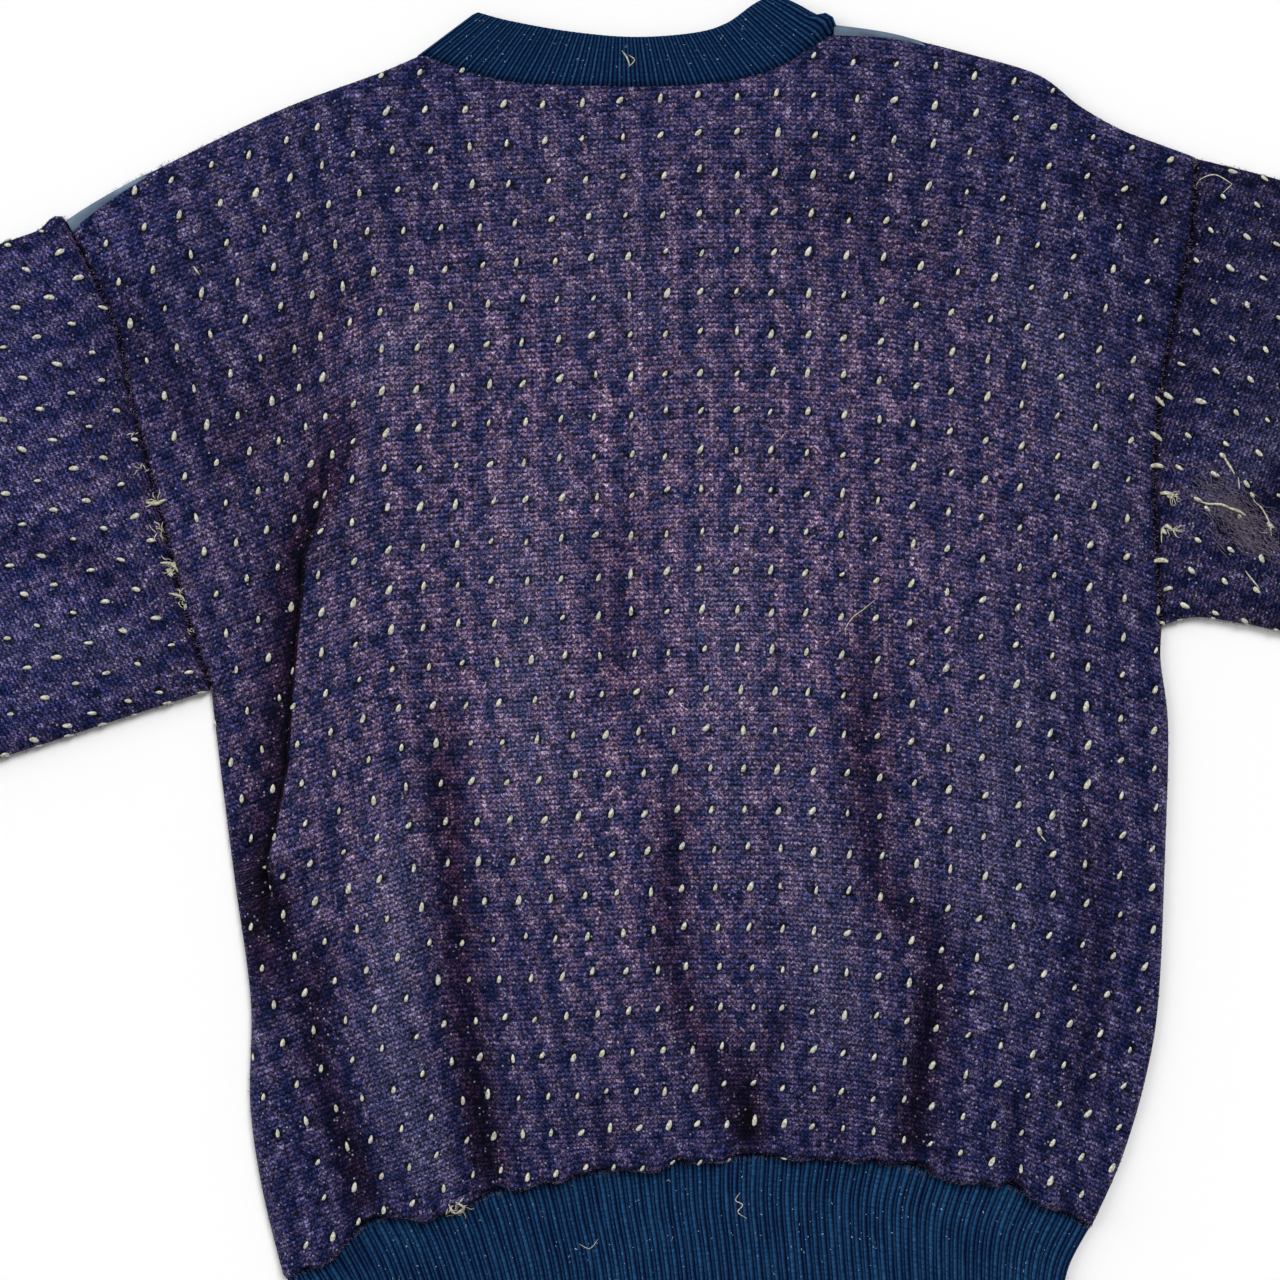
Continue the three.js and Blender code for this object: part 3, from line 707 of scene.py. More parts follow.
        # knit coordinates, with the hidden cloth of the pleat counted in
        wide = 1 - smooth(run, lipX[row] - 40, lipX[row] + 40)
        narrow = np.where(inWedge, 1.0, np.where(inMain, 0.0, 1 - k / pleatSteps))
        through = (begin + (end - begin) * k / pleatSteps) / w
        flatPlan = backPlan(np.where(inWedge | inMain, share, through), vv)
        rowsDown = (fleckRows["first"] - flatPlan[:, 1]) / fleckRows["rise"]
        lost = (9 + 4.75 * np.clip(rowsDown - 0.4, 0, 12)) * smooth(flatPlan[:, 1], -112, -80)
        shift = lost * (wide + (narrow - wide) * f) * smooth(-flatPlan[:, 0], 150, 215)
        stitches = latticeAt(flatPlan - np.stack([shift, np.zeros_like(shift)], -1))
        rollArc = 2.97           # the roll's 170 degrees
        stitches[:, 1] -= np.where(inRoll, (1 - rollTurn[row]) * rollRadius * rollArc / knit["row"], 0)
        # painted shade: darker in the troughs and lighter on the ridges, with painted shadow in the armhole
        # seams, beneath the lip of the pleat, under the hem roll and in its pinches
        tone = folds / 6.5 * smooth(aboveHem, -10, 20)
        fromLip = lipX[row] - run
        lipShadow = 0.7 * bell(fromLip, 8) + 1.3 * bell(fromLip, 26)
        lipShadow = np.where(inMain, 2 * (1 - f) * bell(run - end, 8), lipShadow)
        tone = tone - lipShadowReach[row] * lipShadow
        tone = tone - 2.0 * bell(fromSide, 1.8) * (1 - below) * (1 - smooth(vv, 0.985, 0.995))
        tone = tone - 1.8 * np.where(inRoll, 1 - rollTurn[row], 0)
        tone = tone - 0.5 * pinch * bell(aboveHem, 16)
        return np.column_stack([plan, z]), stitches, np.clip(tone, -2, 1)

    bm = sheetGrid(columns, len(v), place)
    return showPiece(bm, "backJersey", finishes["jersey"], cut["jersey"], 0.0, ["back_panel"])


back = makeBack()
print("back made:", len(back.data.polygons), "faces")

# The front, which lies face down on the table under the back

frontPanel = {"inset": 7.0, "hemInset": 0.015, "width": 550, "length": 560, "columns": 90, "rows": 90}


def frontEdge(side, arm, inward):
    seam = [(x + inward * frontPanel["inset"], y) for x, y in side]
    inset = frontPanel["hemInset"]
    seam[0] = tuple(lines["hem"](np.array(inset if inward > 0 else 1 - inset)))
    line = seamLine(seam)

    def armhole(t):
        away = inward * frontPanel["inset"] * (1 - smooth(t, 0, 0.2))
        return arm(np.asarray(t) * (1 - cut["yokeDepth"])) + np.stack([away, 0 * away], -1)
    return chain([line, armhole], [cut["frontUnderarm"]])


def straight(a, b):
    return lambda t: a + (b - a) * np.asarray(t, float)[..., None]


yokeTop = np.array(1 - cut["yokeDepth"])
yokeSeams = {
    "left": straight(lines["armLeft"](yokeTop), lines["neckFront"](np.array(cut["yokeNeck"]))),
    "right": straight(lines["neckFront"](np.array(1 - cut["yokeNeck"])), lines["armRight"](yokeTop)),
}
frontPlan = span(
    part(lines["hem"], frontPanel["hemInset"], 1 - frontPanel["hemInset"]),
    chain([yokeSeams["left"], part(lines["neckFront"], cut["yokeNeck"], 1 - cut["yokeNeck"]),
           yokeSeams["right"]], [cut["neckFrom"], cut["neckTo"]]),
    frontEdge(seams["sideLeft"], lines["armLeft"], 1),
    frontEdge(seams["sideRight"], lines["armRight"], -1),
)


def makeFront():
    s = frontPanel
    u = np.linspace(0, 1, s["columns"])
    v = np.linspace(0, 1, s["rows"])

    def place(col, row):
        plan = frontPlan(0.0006 + 0.9988 * u[col], 0.0006 + 0.9988 * v[row])
        fromSide = np.minimum(u[col], 1 - u[col]) * s["width"]
        fromEnd = np.minimum(v[row], 1 - v[row]) * s["length"]
        z = cut["jersey"] - 0.7 * bell(np.minimum(fromSide, fromEnd), 4)
        return np.column_stack([plan, z]), plan / np.array([knit["stitch"], knit["row"]])
    bm = sheetGrid(s["columns"], s["rows"], place)
    return showPiece(bm, "frontJersey", finishes["jersey"], cut["jersey"] - 0.1, -1.0,
                     ["front_panel"])


front = makeFront()

# Leather yokes: they lie under the back and their upper edge rolls up past its shoulder

yoke = {"columns": 70, "flatRows": 12, "rimRows": 10, "tuck": 2.5}


def showsAtSleeve(t):
    # how far the rim stands out past the shoulder line, how far the back stops short of it, and
    # how much of it shows
    return 0.5 - 1.5 * smooth(t, 0.02, 0.2), 5.4 * np.clip(1 - t / 0.28, 0, 1), 1 - smooth(t, 0.2, 0.32)


def showsAtNeck(t):
    return 4.9 - 5.9 * np.clip(t / 0.3, 0, 1), 0.6 + 0 * t, 1 - smooth(t, 0.22, 0.32)


def makeYoke(name, node, seam, shoulder, left, right, shows):
    plan = span(seam, shoulder, left, right)
    u = np.linspace(0, 1, yoke["columns"]) ** (1.25 if name.endswith("Left") else 1.0)
    rows = yoke["flatRows"] + yoke["rimRows"]

    def place(col, row):
        uu = 0.002 + 0.996 * u[col]
        out, inset, shown = shows(uu)
        rim = np.clip((row - yoke["flatRows"] + 1) / yoke["rimRows"], 0, 1)
        flat = plan(uu, 0.006 + 0.97 * np.clip(row / (yoke["flatRows"] - 1), 0, 1))
        edge = plan(uu, np.full_like(uu, 0.999))
        away = edge - plan(uu, np.full_like(uu, 0.9))
        away /= np.hypot(*away.T)[:, None]
        # the rim: out along the table, round, and back in under the edge of the back
        angle = math.pi * smooth(rim, 0.3, 0.75)
        reach = out * shown - 2.4 * (1 - shown)
        bulge = 0.9 + 0.75 * shown
        start = -yoke["tuck"] - inset * shown
        along = np.where(rim < 0.3, start + (reach - bulge - start) * smooth(rim, 0, 0.3),
                         reach - bulge + bulge * np.sin(angle))
        inward = smooth(rim, 0.72, 1) * shown
        along = along - inward * (reach - bulge + inset + 2.2)
        z = cut["leather"] + bulge * (1 - np.cos(angle)) - 0.9 * inward
        points = np.where((rim > 0)[:, None], edge + away * along[:, None], flat)
        z = np.where(rim > 0, z - 0.15, cut["leather"])
        # painted shade on the outer, lower face of the rim and at its tucked-in edge; its top is left
        # unshaded
        tone = np.where(rim > 0, -(1 - smooth(angle, 1.6, 2.5)), 0) - 0.8 * smooth(rim, 0.85, 1)
        return np.column_stack([points, z]), points / 10, tone
    bm = sheetGrid(yoke["columns"], rows, place)
    return showPiece(bm, name, finishes["leather"], cut["leather"] - 0.15, -1.0, [node])


yokes = [
    makeYoke("yokeLeft", "front_yoke_left", yokeSeams["left"], lines["shoulderLeft"],
             part(lines["armLeft"], 1 - cut["yokeDepth"], 1),
             part(lines["neckFront"], cut["yokeNeck"], 0), showsAtSleeve),
    makeYoke("yokeRight", "front_yoke_right", yokeSeams["right"], lines["shoulderRight"],
             part(lines["neckFront"], 1 - cut["yokeNeck"], 1),
             part(lines["armRight"], 1 - cut["yokeDepth"], 1), showsAtNeck),
]
print("front and yokes made")

# Sleeves and cuffs: tubes pressed flat

sleeve = {
    "topColumns": 78, "underColumns": 46, "turnSteps": 6, "rows": 118,
    "length": 400, "stitch": 2.82, "row": 2.55,
    "loft": 3.4, "foldReach": 22, "creaseGain": 1.6,
    "armholeDip": 2.4, "cuffDip": 0.9,
    "slant": 0.26,               # how far the rows run up towards the folds
    "left": [
        ([(-352, 262), (-332, 190), (-318, 120)], 12, -1.6),
        ([(-300, 60), (-345, 95), (-402, 110)], 13, -2.2),
        ([(-296, 36), (-352, 52), (-430, 48)], 11, 2.0),
        ([(-360, 235), (-440, 200), (-520, 150)], 20, 1.8),
        ([(-380, 150), (-470, 105), (-560, 70)], 18, 1.6),
        ([(-420, 240), (-500, 190), (-590, 120)], 12, -2.0),
        ([(-470, 40), (-560, 20), (-640, 10)], 16, 1.8),
        ([(-560, 160), (-610, 90), (-640, 20)], 14, -2.0),
        ([(-610, 140), (-655, 70), (-668, 10)], 10, 1.8),
        ([(-430, 60), (-500, 70), (-600, 50)], 10, -1.6),
    ],
    "right": [
        ([(330, 262), (310, 190), (300, 120)], 12, -1.4),
        ([(296, 45), (345, 85), (400, 120)], 13, -2.2),
        ([(292, 60), (350, 120), (420, 160)], 14, 1.6),
        ([(340, 258), (420, 215), (520, 165)], 16, -1.8),
        ([(350, 230), (440, 180), (530, 120)], 20, 1.8),
        ([(400, 60), (480, 40), (570, 10)], 16, 1.8),
        ([(390, 110), (470, 95), (560, 70)], 10, -1.8),
        ([(560, 160), (600, 90), (630, 20)], 14, -2.0),
        ([(600, 140), (645, 75), (656, 15)], 10, 1.8),
    ],
}


def pressedRing(topColumns, underColumns, turnSteps):
    # once round a flattened tube: over the top, round the far fold, back below and round the near
    # fold, as share of the width, reach past the fold, and height
    half = cut["pressed"] / 2
    over = np.arange(topColumns) / (topColumns - 1)
    below = np.arange(underColumns) / (underColumns - 1)
    turn = math.pi * np.arange(1, turnSteps + 1) / turnSteps
    share = np.concatenate([1 - over, 0 * turn[:-1], below, 0 * turn + 1])
    side = np.concatenate([0 * over, -np.sin(turn[:-1]), 0 * below, np.sin(turn)])
    level = np.concatenate([0 * over + 2, 1 + np.cos(turn[:-1]), 0 * below, 1 - np.cos(turn)])
    return share, side * half, level * half


def pressedTube(plan, ring, v, heightAt, stitchSize, rowSize, along, slant=0.0, swell=0.0):
    # place() for a flattened tube, where heightAt gives extra height on its upper layer and swell
    # is the height of its ribs
    share, side, level = ring
    half = cut["pressed"] / 2
    width = np.hypot(*(plan(1.0, v) - plan(0.0, v)).T)

    def place(col, row):
        w = width[row]
        a = half + share[col] * (w - 2 * half) + side[col]
        p = plan(a / w, v[row])
        topness = smooth(level[col], half * 1.2, half * 2)
        girth = np.where(level[col] > half, -a, a)
        turned = np.where((share[col] == 0) & (side[col] != 0),
                          (half * math.pi / 2) * (half - level[col]) / half, 0)
        girth = np.where(share[col] == 0, turned, girth)
        extra = heightAt(p, np.minimum(a, w - a), v[row])
        z = level[col] + topness * extra
        run = v[row] * along + slant * np.abs(girth)
        stitches = np.column_stack([girth / stitchSize, run / rowSize])
        if swell:
            furrow = swell * (np.cos(2 * math.pi * girth / stitchSize) - 1)
            z = z + furrow * np.where(level[col] >= half, 1, -0.6)
        # painted shade: darker where the upper layer lies low, by its folds and in its creases, lighter
        # where it stands high, with a painted shadow line at the seam where the tube starts
        tone = np.clip(topness * (extra - 3.0) / 7, -1, 1) - 1.7 * bell(v[row] * along, 1.8)
        return np.column_stack([p, z]), stitches, tone
    return place


def showTube(name, node, ring, v, place, cloth, wall):
    bm = sheetGrid(len(ring[0]), len(v), place, closed=True)
    if name.endswith("Right"):
        bmesh.ops.reverse_faces(bm, faces=bm.faces)
    return showPiece(bm, name, finishes[cloth], wall, -1.0, [node])


def makeSleeve(name, node, arm, top, under, creases):
    end = straight(top(np.array(1.0)), under(np.array(1.0)))
    plan = span(lambda t: arm(1 - np.asarray(t, float)), end, top, under)
    ring = pressedRing(sleeve["topColumns"], sleeve["underColumns"], sleeve["turnSteps"])
    v = np.concatenate([[0.0008, 0.002, 0.004, 0.007], np.linspace(0.011, 0.999, sleeve["rows"])])

    def heightAt(p, fromFold, vv):
        fade = smooth(fromFold, 0, sleeve["foldReach"])
        ends = smooth(vv, 0, 0.06) * (1 - smooth(vv, 0.93, 1))
        folds = sleeve["creaseGain"] * relief(p, creases) * fade * (0.25 + 0.75 * ends)
        body = np.maximum(sleeve["loft"] * fade * ends + folds, -1.2)
        atArmhole = sleeve["armholeDip"] * bell(vv * sleeve["length"], 3.0)
        return body + (-atArmhole - sleeve["cuffDip"] * bell((1 - vv) * sleeve["length"], 3.0))
    place = pressedTube(plan, ring, v, heightAt, sleeve["stitch"], sleeve["row"], top.length,
                        sleeve["slant"])
    return showTube(name, node, ring, v, place, "jersey", cut["jersey"])


sleeves = [
    makeSleeve("sleeveLeft", "sleeve_left", lines["armLeft"], lines["sleeveLeftTop"],
               lines["sleeveLeftUnder"], sleeve["left"]),
    makeSleeve("sleeveRight", "sleeve_right", lines["armRight"], lines["sleeveRightTop"],
               lines["sleeveRightUnder"], sleeve["right"]),
]


cuff = {
    "length": 75, "swell": 0.38, "edgeDip": 0.9, "seamDip": 1.0,
    "columns": 132, "turnSteps": 8, "rows": 22,
}


def makeCuff(name, node, top, under, end):
    seam = [top(np.array(1.0)), under(np.array(1.0))]
    tip = np.array(end, float)
    plan = span(straight(seam[0], seam[1]), straight(tip[0], tip[1]), straight(seam[0], tip[0]),
                straight(seam[1], tip[1]))
    ring = pressedRing(cuff["columns"], cuff["columns"], cuff["turnSteps"])
    v = np.concatenate([np.linspace(0.005, 0.97, cuff["rows"]), [0.982, 0.991, 0.997, 1.0]])

    def heightAt(p, fromFold, vv):
        atEdge = cuff["edgeDip"] * bell((1 - vv) * cuff["length"], 1.6)
        return -atEdge - cuff["seamDip"] * bell(vv * cuff["length"], 3.0)
    place = pressedTube(plan, ring, v, heightAt, cut["ribPitch"], cut["ribRow"], cuff["length"],
                        swell=cuff["swell"])
    return showTube(name, node, ring, v, place, "rib", cut["rib"] - 0.3)


cuffs = [
    makeCuff("cuffLeft", "cuff_left", lines["sleeveLeftTop"], lines["sleeveLeftUnder"],
             seams["cuffLeftEnd"]),
    makeCuff("cuffRight", "cuff_right", lines["sleeveRightTop"], lines["sleeveRightUnder"],
             seams["cuffRightEnd"]),
]
print("sleeves and cuffs made")

# The welt: two ribbed layers below the hem seam

welt = {
    "width": 450, "height": 84, "ribs": 92, "swell": 0.4,
    "ripple": 0.5,               # how the upper layer undulates over the lower
    "hemDip": 1.6, "edgeDip": 0.5,
}


def makeWelt(name, node, start, end, base, perRib, rows, upper):
    plan = span(lines["weltEdge"], lines["hem"], lines["weltLeft"], lines["weltRight"])
    columns = welt["ribs"] * perRib + 1
    u = np.linspace(start, end, columns)
    v = 0.002 + 0.994 * np.linspace(0, 1, rows) ** 0.9

    def place(col, row):
        uu, vv = u[col], v[row]
        p = plan(uu, vv)
        rib = uu * welt["ribs"]
        swell = welt["swell"] * (0.5 * np.cos(2 * math.pi * rib) + 0.8 * np.cos(4 * math.pi * rib))
        ripple = welt["ripple"] * np.sin(p[:, 0] / 23 + 0.6) * np.sin(math.pi * vv) if upper else 0
        z = base + cut["rib"] / 2 + swell + ripple
        if upper:
            # it dips beneath the roll of the hem and rounds down to the table at its ends
            z = z - welt["hemDip"] * bell((1 - vv) * welt["height"], 4.5)
            fromEnd = np.minimum(uu - start, end - uu) * welt["width"]
            z = 1.6 + (z - 1.6) * quarterRound(fromEnd / 5)
        z = z - welt["edgeDip"] * bell(vv * welt["height"], 1.8)
        return np.column_stack([p, z]), np.column_stack([rib, vv * welt["height"] / cut["ribRow"]])
    bm = sheetGrid(columns, rows, place)
    return showPiece(bm, name, finishes["rib"], cut["rib"] - 0.5, 0.0, [node])


weltBack = makeWelt("weltBack", "welt_back", 0.0008, 0.9992, cut["upperLayer"], 10, 26, True)
weltFront = makeWelt("weltFront", "welt_front", 0.017, 0.983, 0.0, 8, 12, False)

# The neckband: a doubled ring of rib that lies in both layers and turns over at each side

band = {"ribs": 112, "perRib": 6, "swell": 0.32, "flatRows": 9, "edgeSteps": 5}


def makeNeckband():
    columns = band["ribs"] * band["perRib"] + 1
    half = cut["pressed"] / 2
    backLength, frontLength = lines["neckBack"].length, lines["neckFront"].length
    turnLength = math.pi * half
    total = backLength + frontLength + 2 * turnLength
    # one section: out along the upper face, round the fold, and back along the lower face
    flat = np.linspace(0.004, 0.95, band["flatRows"])
    bend = np.linspace(0, math.pi, band["edgeSteps"] + 2)[1:-1]
    share = np.concatenate([flat, np.full(len(bend), 0.95), flat[::-1], flat[:1]])
    bulge = np.concatenate([0 * flat, np.sin(bend), 0 * flat, [0]])
    depth = np.concatenate([0 * flat, (1 - np.cos(bend)) / 2, 0 * flat + 1, [0]])

    def place(col, row):
        s = col / (columns - 1) * total
        onBack = np.clip(s / backLength, 0, 1)
        rightTurn = np.clip((s - backLength) / turnLength, 0, 1)
        onFront = np.clip((s - backLength - turnLength) / frontLength, 0, 1)
        leftTurn = np.clip((s - total + turnLength) / turnLength, 0, 1)
        isFront = rightTurn >= 0.5
        seam = np.where(isFront[:, None], lines["neckFront"](1 - onFront), lines["neckBack"](onBack))
        edge = np.where(isFront[:, None], lines["bandFront"](1 - onFront), lines["bandBack"](onBack))
        lean = math.pi / 2 - math.pi * rightTurn - math.pi * leftTurn
        outward = np.where((rightTurn > 0) & (rightTurn < 1), 1, 0) - np.where(leftTurn > 0, 1, 0)
        rib = s / total * band["ribs"]
        swell = band["swell"] * (np.cos(2 * math.pi * rib) - 1)
        width = np.hypot(*(edge - seam).T)
        radius = half + swell * (1 - depth[row]) - (cut["rib"] - 0.6) * depth[row]
        at = share[row] + bulge[row] * 1.5 / width
        p = seam + (edge - seam) * at[:, None]
        # a little rumple where the ring turns over on the right
        fromTurn = s - backLength - turnLength / 2
        arch = np.sin(math.pi * np.clip(at, 0, 1))
        rumple = bell(fromTurn, 12) * arch
        lump = bell(fromTurn, 10) * bell(at - 0.17, 0.13)
        x = p[:, 0] + outward * radius * np.abs(np.cos(lean)) + 1.2 * rumple + 1.5 * lump
        y = p[:, 1] + 1.5 * rumple + 6.5 * lump
        wave = 0.7 * np.sin(s / 19 + 1) * arch * np.where(isFront, 0, 1)
        z = half + radius * np.sin(lean) + wave + 1.2 * rumple + 1.0 * lump
        z = z - 1.2 * bell(at * width, 2.5) * np.sin(lean) * (1 - depth[row])
        return np.column_stack([x, y, z]), np.column_stack([rib, at * width / cut["ribRow"]])
    bm = sheetGrid(columns, len(share), place, closed=True)
    edgeVerts = [v for v in bm.verts if v.is_boundary]
    bmesh.ops.remove_doubles(bm, verts=edgeVerts, dist=2e-5)
    bmesh.ops.recalc_face_normals(bm, faces=bm.faces)
    return showPiece(bm, "neckRib", finishes["rib"], 0.0, 0.0, ["neckband"])


neckband = makeNeckband()
print("welt and neckband made")

# Cream flecks: one raised slub in each repeat

fleck = {"width": 1.85, "length": 2.5, "height": 1.0, "lean": 0.3, "taper": 0.42}


def slub():
    bm = bmesh.new()
    bmesh.ops.create_uvsphere(bm, u_segments=6, v_segments=4, radius=1)
    for v in bm.verts:
        v.co.z, v.co.y = -v.co.y, v.co.z
        taper = 1 - fleck["taper"] * (v.co.y + 1) / 2
        v.co.x = v.co.x * fleck["width"] * taper + fleck["lean"] * v.co.y * fleck["length"]
        v.co.y *= fleck["length"]
        v.co.z *= fleck["height"] * taper
    bmesh.ops.recalc_face_normals(bm, faces=bm.faces)
    mesh = takeMesh(bm, "slub")
    mesh.transform(Matrix.Scale(mm, 4))
    mesh.shade_smooth()
    return mesh


def readAll(items, name, size, kind=float):
    values = np.zeros(len(items) * size, kind)
    items.foreach_get(name, values)
    return values.reshape(-1, size)


def fleckFrames(piece, lift):
    # where the middle of each repeat falls on a piece: place, across, up and outward directions
    mesh = piece.data
    mesh.calc_loop_triangles()
    loops = readAll(mesh.loop_triangles, "loops", 3, int)
    uv = readAll(mesh.uv_layers["knit"].data, "uv", 2)[loops]
    co = readAll(mesh.vertices, "co", 3)[readAll(mesh.loops, "vertex_index", 1, int)[loops, 0]]
    t = uv / np.array([knit["acrossRepeat"], knit["upRepeat"]], float)
    goal = np.rint(t.mean(1))
    e1, e2, d = t[:, 1] - t[:, 0], t[:, 2] - t[:, 0], goal - t[:, 0]
    det = e1[:, 0] * e2[:, 1] - e1[:, 1] * e2[:, 0]
    det = np.where(np.abs(det) < 1e-12, 1e-12, det)
    b = (d[:, 0] * e2[:, 1] - d[:, 1] * e2[:, 0]) / det
    c = (e1[:, 0] * d[:, 1] - e1[:, 1] * d[:, 0]) / det
    found = []
    for k in np.flatnonzero((b >= 0) & (c >= 0) & (b + c < 1)):
        p1, p2 = co[k, 1] - co[k, 0], co[k, 2] - co[k, 0]
        up = (p2 * e1[k, 0] - p1 * e2[k, 0]) / det[k]
        normal = np.cross(p1, p2)
        normal /= np.linalg.norm(normal) + 1e-20
        up /= np.linalg.norm(up) + 1e-20
        at = co[k, 0] + b[k] * p1 + c[k] * p2 + normal * lift
        found.append((at, np.cross(up, normal), up, normal))
    return found


def varyFleck():
    turn = Matrix.Rotation(random.gauss(-0.03, 0.15), 4, "Z")
    size = random.uniform(0.82, 1.16)
    long = random.uniform(0.75, 1.2)
    wide = random.uniform(0.8, 1.2)
    nudge = Matrix.Translation((random.gauss(0, 0.6) * mm, random.gauss(0, 0.8) * mm, 0))
    return nudge @ turn @ Matrix.Diagonal((size * wide, size * long, size, 1))


def makeFlecks(name, template, frames):
    bm = bmesh.new()
    work = template.copy()
    for at, side, up, normal in frames:
        matrix = Matrix([*zip(side, up, normal, at), (0, 0, 0, 1)]) @ varyFleck()
        if normal[2] < 0.1 and at[2] < 1.3 * mm:
            # pressed flat between the cloth and the table
            matrix = Matrix.Translation((0, 0, at[2] + 0.15 * mm)) @ Matrix.Diagonal((1, 1, 0.3, 1)) \
                @ Matrix.Translation((0, 0, -at[2])) @ matrix
        work.transform(matrix)
        bm.from_mesh(work)
        work.transform(matrix.inverted())
    return showPiece(bm, name, finishes["fleck"])


slubMesh = slub()
for piece, lift in ((back, cut["jersey"] / 2), (front, 0.0), *[(s, 0.0) for s in sleeves]):
    frames = fleckFrames(piece, (lift + 0.1) * mm)
    if piece is back:
        frames = [f for f in frames if f[3][2] > 0.15]
    if piece is front:
        # on its outer face, which lies on the table
        under = np.array([0, 0, (cut["jersey"] + 0.05) * mm])
        frames = [(at - under, -side, up, -normal) for at, side, up, normal in frames]
    makeFlecks("flecks" + piece.name[0].upper() + piece.name[1:], slubMesh, frames)
    print("flecks on", piece.name, len(frames))

# Darning, pulled yarn and loose fibre, laid on the cloth

layers = bpy.context.evaluated_depsgraph_get()
trees = [BVHTree.FromObject(piece, layers) for piece in (back, *sleeves, weltBack, neckband)]


def topOfCloth(x, y):
    hits = [tree.ray_cast(Vector((x * mm, y * mm, 0.1)), Vector((0, 0, -1)))[0] for tree in trees]
    return max([hit.z / mm for hit in hits if hit], default=0.3)


def layStrand(bm, path, radius, rise=0.0, step=1.2, sides=4):
    # a tapered strand along a path in plan, lying on the cloth or rising from it in its middle
    line = seamLine(path)
    count = max(4, int(line.length / step) + 1)
    share = np.linspace(0, 1, count)
    plan = line(share)
    tops = np.array([topOfCloth(x, y) for x, y in plan])
    tops = np.maximum(tops, np.convolve(np.pad(tops, 1, "edge"), [0.25, 0.5, 0.25], "valid"))
    z = tops + 0.7 * radius + rise * np.sin(math.pi * share)
    way = [Vector((x, y, h)) * mm for (x, y), h in zip(plan, z)]
    rings = []
    for k, at in enumerate(way):
        along = (way[min(k + 1, count - 1)] - way[max(k - 1, 0)]).normalized()
        side = along.cross(Vector((0, 0, 1))).normalized()
        up = side.cross(along)
        thick = radius * mm * (0.25 + 0.75 * math.sin(math.pi * min(max(share[k], 0.04), 0.96)) ** 0.7)
        rings.append([bm.verts.new(at + thick * (math.cos(a) * side + math.sin(a) * up))
                      for a in (2 * math.pi * i / sides for i in range(sides))])
    for low, high in zip(rings, rings[1:]):
        for i in range(sides):
            bm.faces.new((low[i], high[i], high[(i + 1) % sides], low[(i + 1) % sides]))
    bm.faces.new(rings[0])
    bm.faces.new(rings[-1][::-1])


def strayPath(x, y, length, heading, curl):
    # a short wandering path that starts at a point and sets out at a heading
    path = [(x, y)]
    for _ in range(4):
        x += math.cos(heading) * length / 4
        y += math.sin(heading) * length / 4
        heading += random.gauss(0, curl)
        path.append((x, y))
    return path


def showStrands(name, build, material):
    bm = bmesh.new()
    build(bm)
    bmesh.ops.recalc_face_normals(bm, faces=bm.faces)
    return showPiece(bm, name, finishes[material])


# Cream stitches that take in the right armhole: middle, length, breadth, heading in degrees
armholeStitches = [
    (288, 150, 7.0, 1.5, -48), (284.5, 130, 8.0, 1.5, -38), (284, 112.5, 7.0, 1.6, -8),
    (288.5, 96, 7.5, 1.2, -14), (288, 76.5, 5.0, 1.2, -30), (283, 57.5, 7.5, 1.6, -6),
    (286, 41, 5.0, 1.2, 10), (282, 21, 4.0, 0.9, -40),
]


def buildStitches(bm):
    for x, y, length, breadth, heading in armholeStitches:
        turn = math.radians(heading)
        dx, dy = math.cos(turn) * length / 2, math.sin(turn) * length / 2
        for shift in (-0.35, 0.35):
            path = [(x - dx, y - dy + shift), (x + 0.2, y + 0.7 + shift), (x + dx, y + dy + shift)]
            layStrand(bm, path, breadth * 0.68, rise=0.5, step=0.8, sides=6)
    # the two that have frayed
    for x, y in ((289, 96), (289, 76)):
        for _ in range(9):
            end = strayPath(x + random.gauss(0, 1.2), y, random.uniform(5, 10),
                            math.radians(random.uniform(-80, 10)), curl=0.5)
            layStrand(bm, end, 0.24, rise=0.4)
    layStrand(bm, [(288, 79), (284.6, 76), (284, 68)], 0.45, rise=0.4)


def buildTufts(bm):
    # yarn ends standing in the left armhole seam
    for x, y, count, reach in (
        (-298, 128, 9, 7), (-295.5, 110, 9, 7), (-290, 89, 10, 8), (-286.5, 71, 9, 6), (-307, 168, 4, 5),
        (-304, 147, 5, 5), (-281, 52, 4, 4),
    ):
        for _ in range(count):
            heading = math.radians(random.uniform(95, 260))
            end = strayPath(x + random.gauss(1, 1.2), y + random.gauss(0, 1.4),
                            random.uniform(0.4, 1) * reach, heading, curl=0.6)
            layStrand(bm, end, 0.32, rise=0.8)
    for path, radius in (
        ([(-302, 127.5), (-297, 126.5), (-291, 128.5)], 1.2),
        ([(-296, 92), (-290, 91), (-286.5, 86)], 0.9),
        ([(-292, 74), (-286, 72), (-284, 69)], 0.8),
    ):
        layStrand(bm, path, radius, rise=0.3, step=1.0, sides=6)


def buildPatch(bm):
    # where the sleeve caught and was pulled: fibre dragged down to the right
    for _ in range(420):
        down = random.gauss(0, 0.42)
        x = 327 + 24 * down + random.gauss(0, 6.5)
        y = 81 - 24 * down + random.gauss(0, 6.5)
        heading = math.radians(random.gauss(-42, 17))
        pulled = strayPath(x, y, random.uniform(4, 13), heading, curl=0.22)
        layStrand(bm, pulled, random.uniform(0.14, 0.3), rise=random.uniform(0, 0.9), step=2.2)


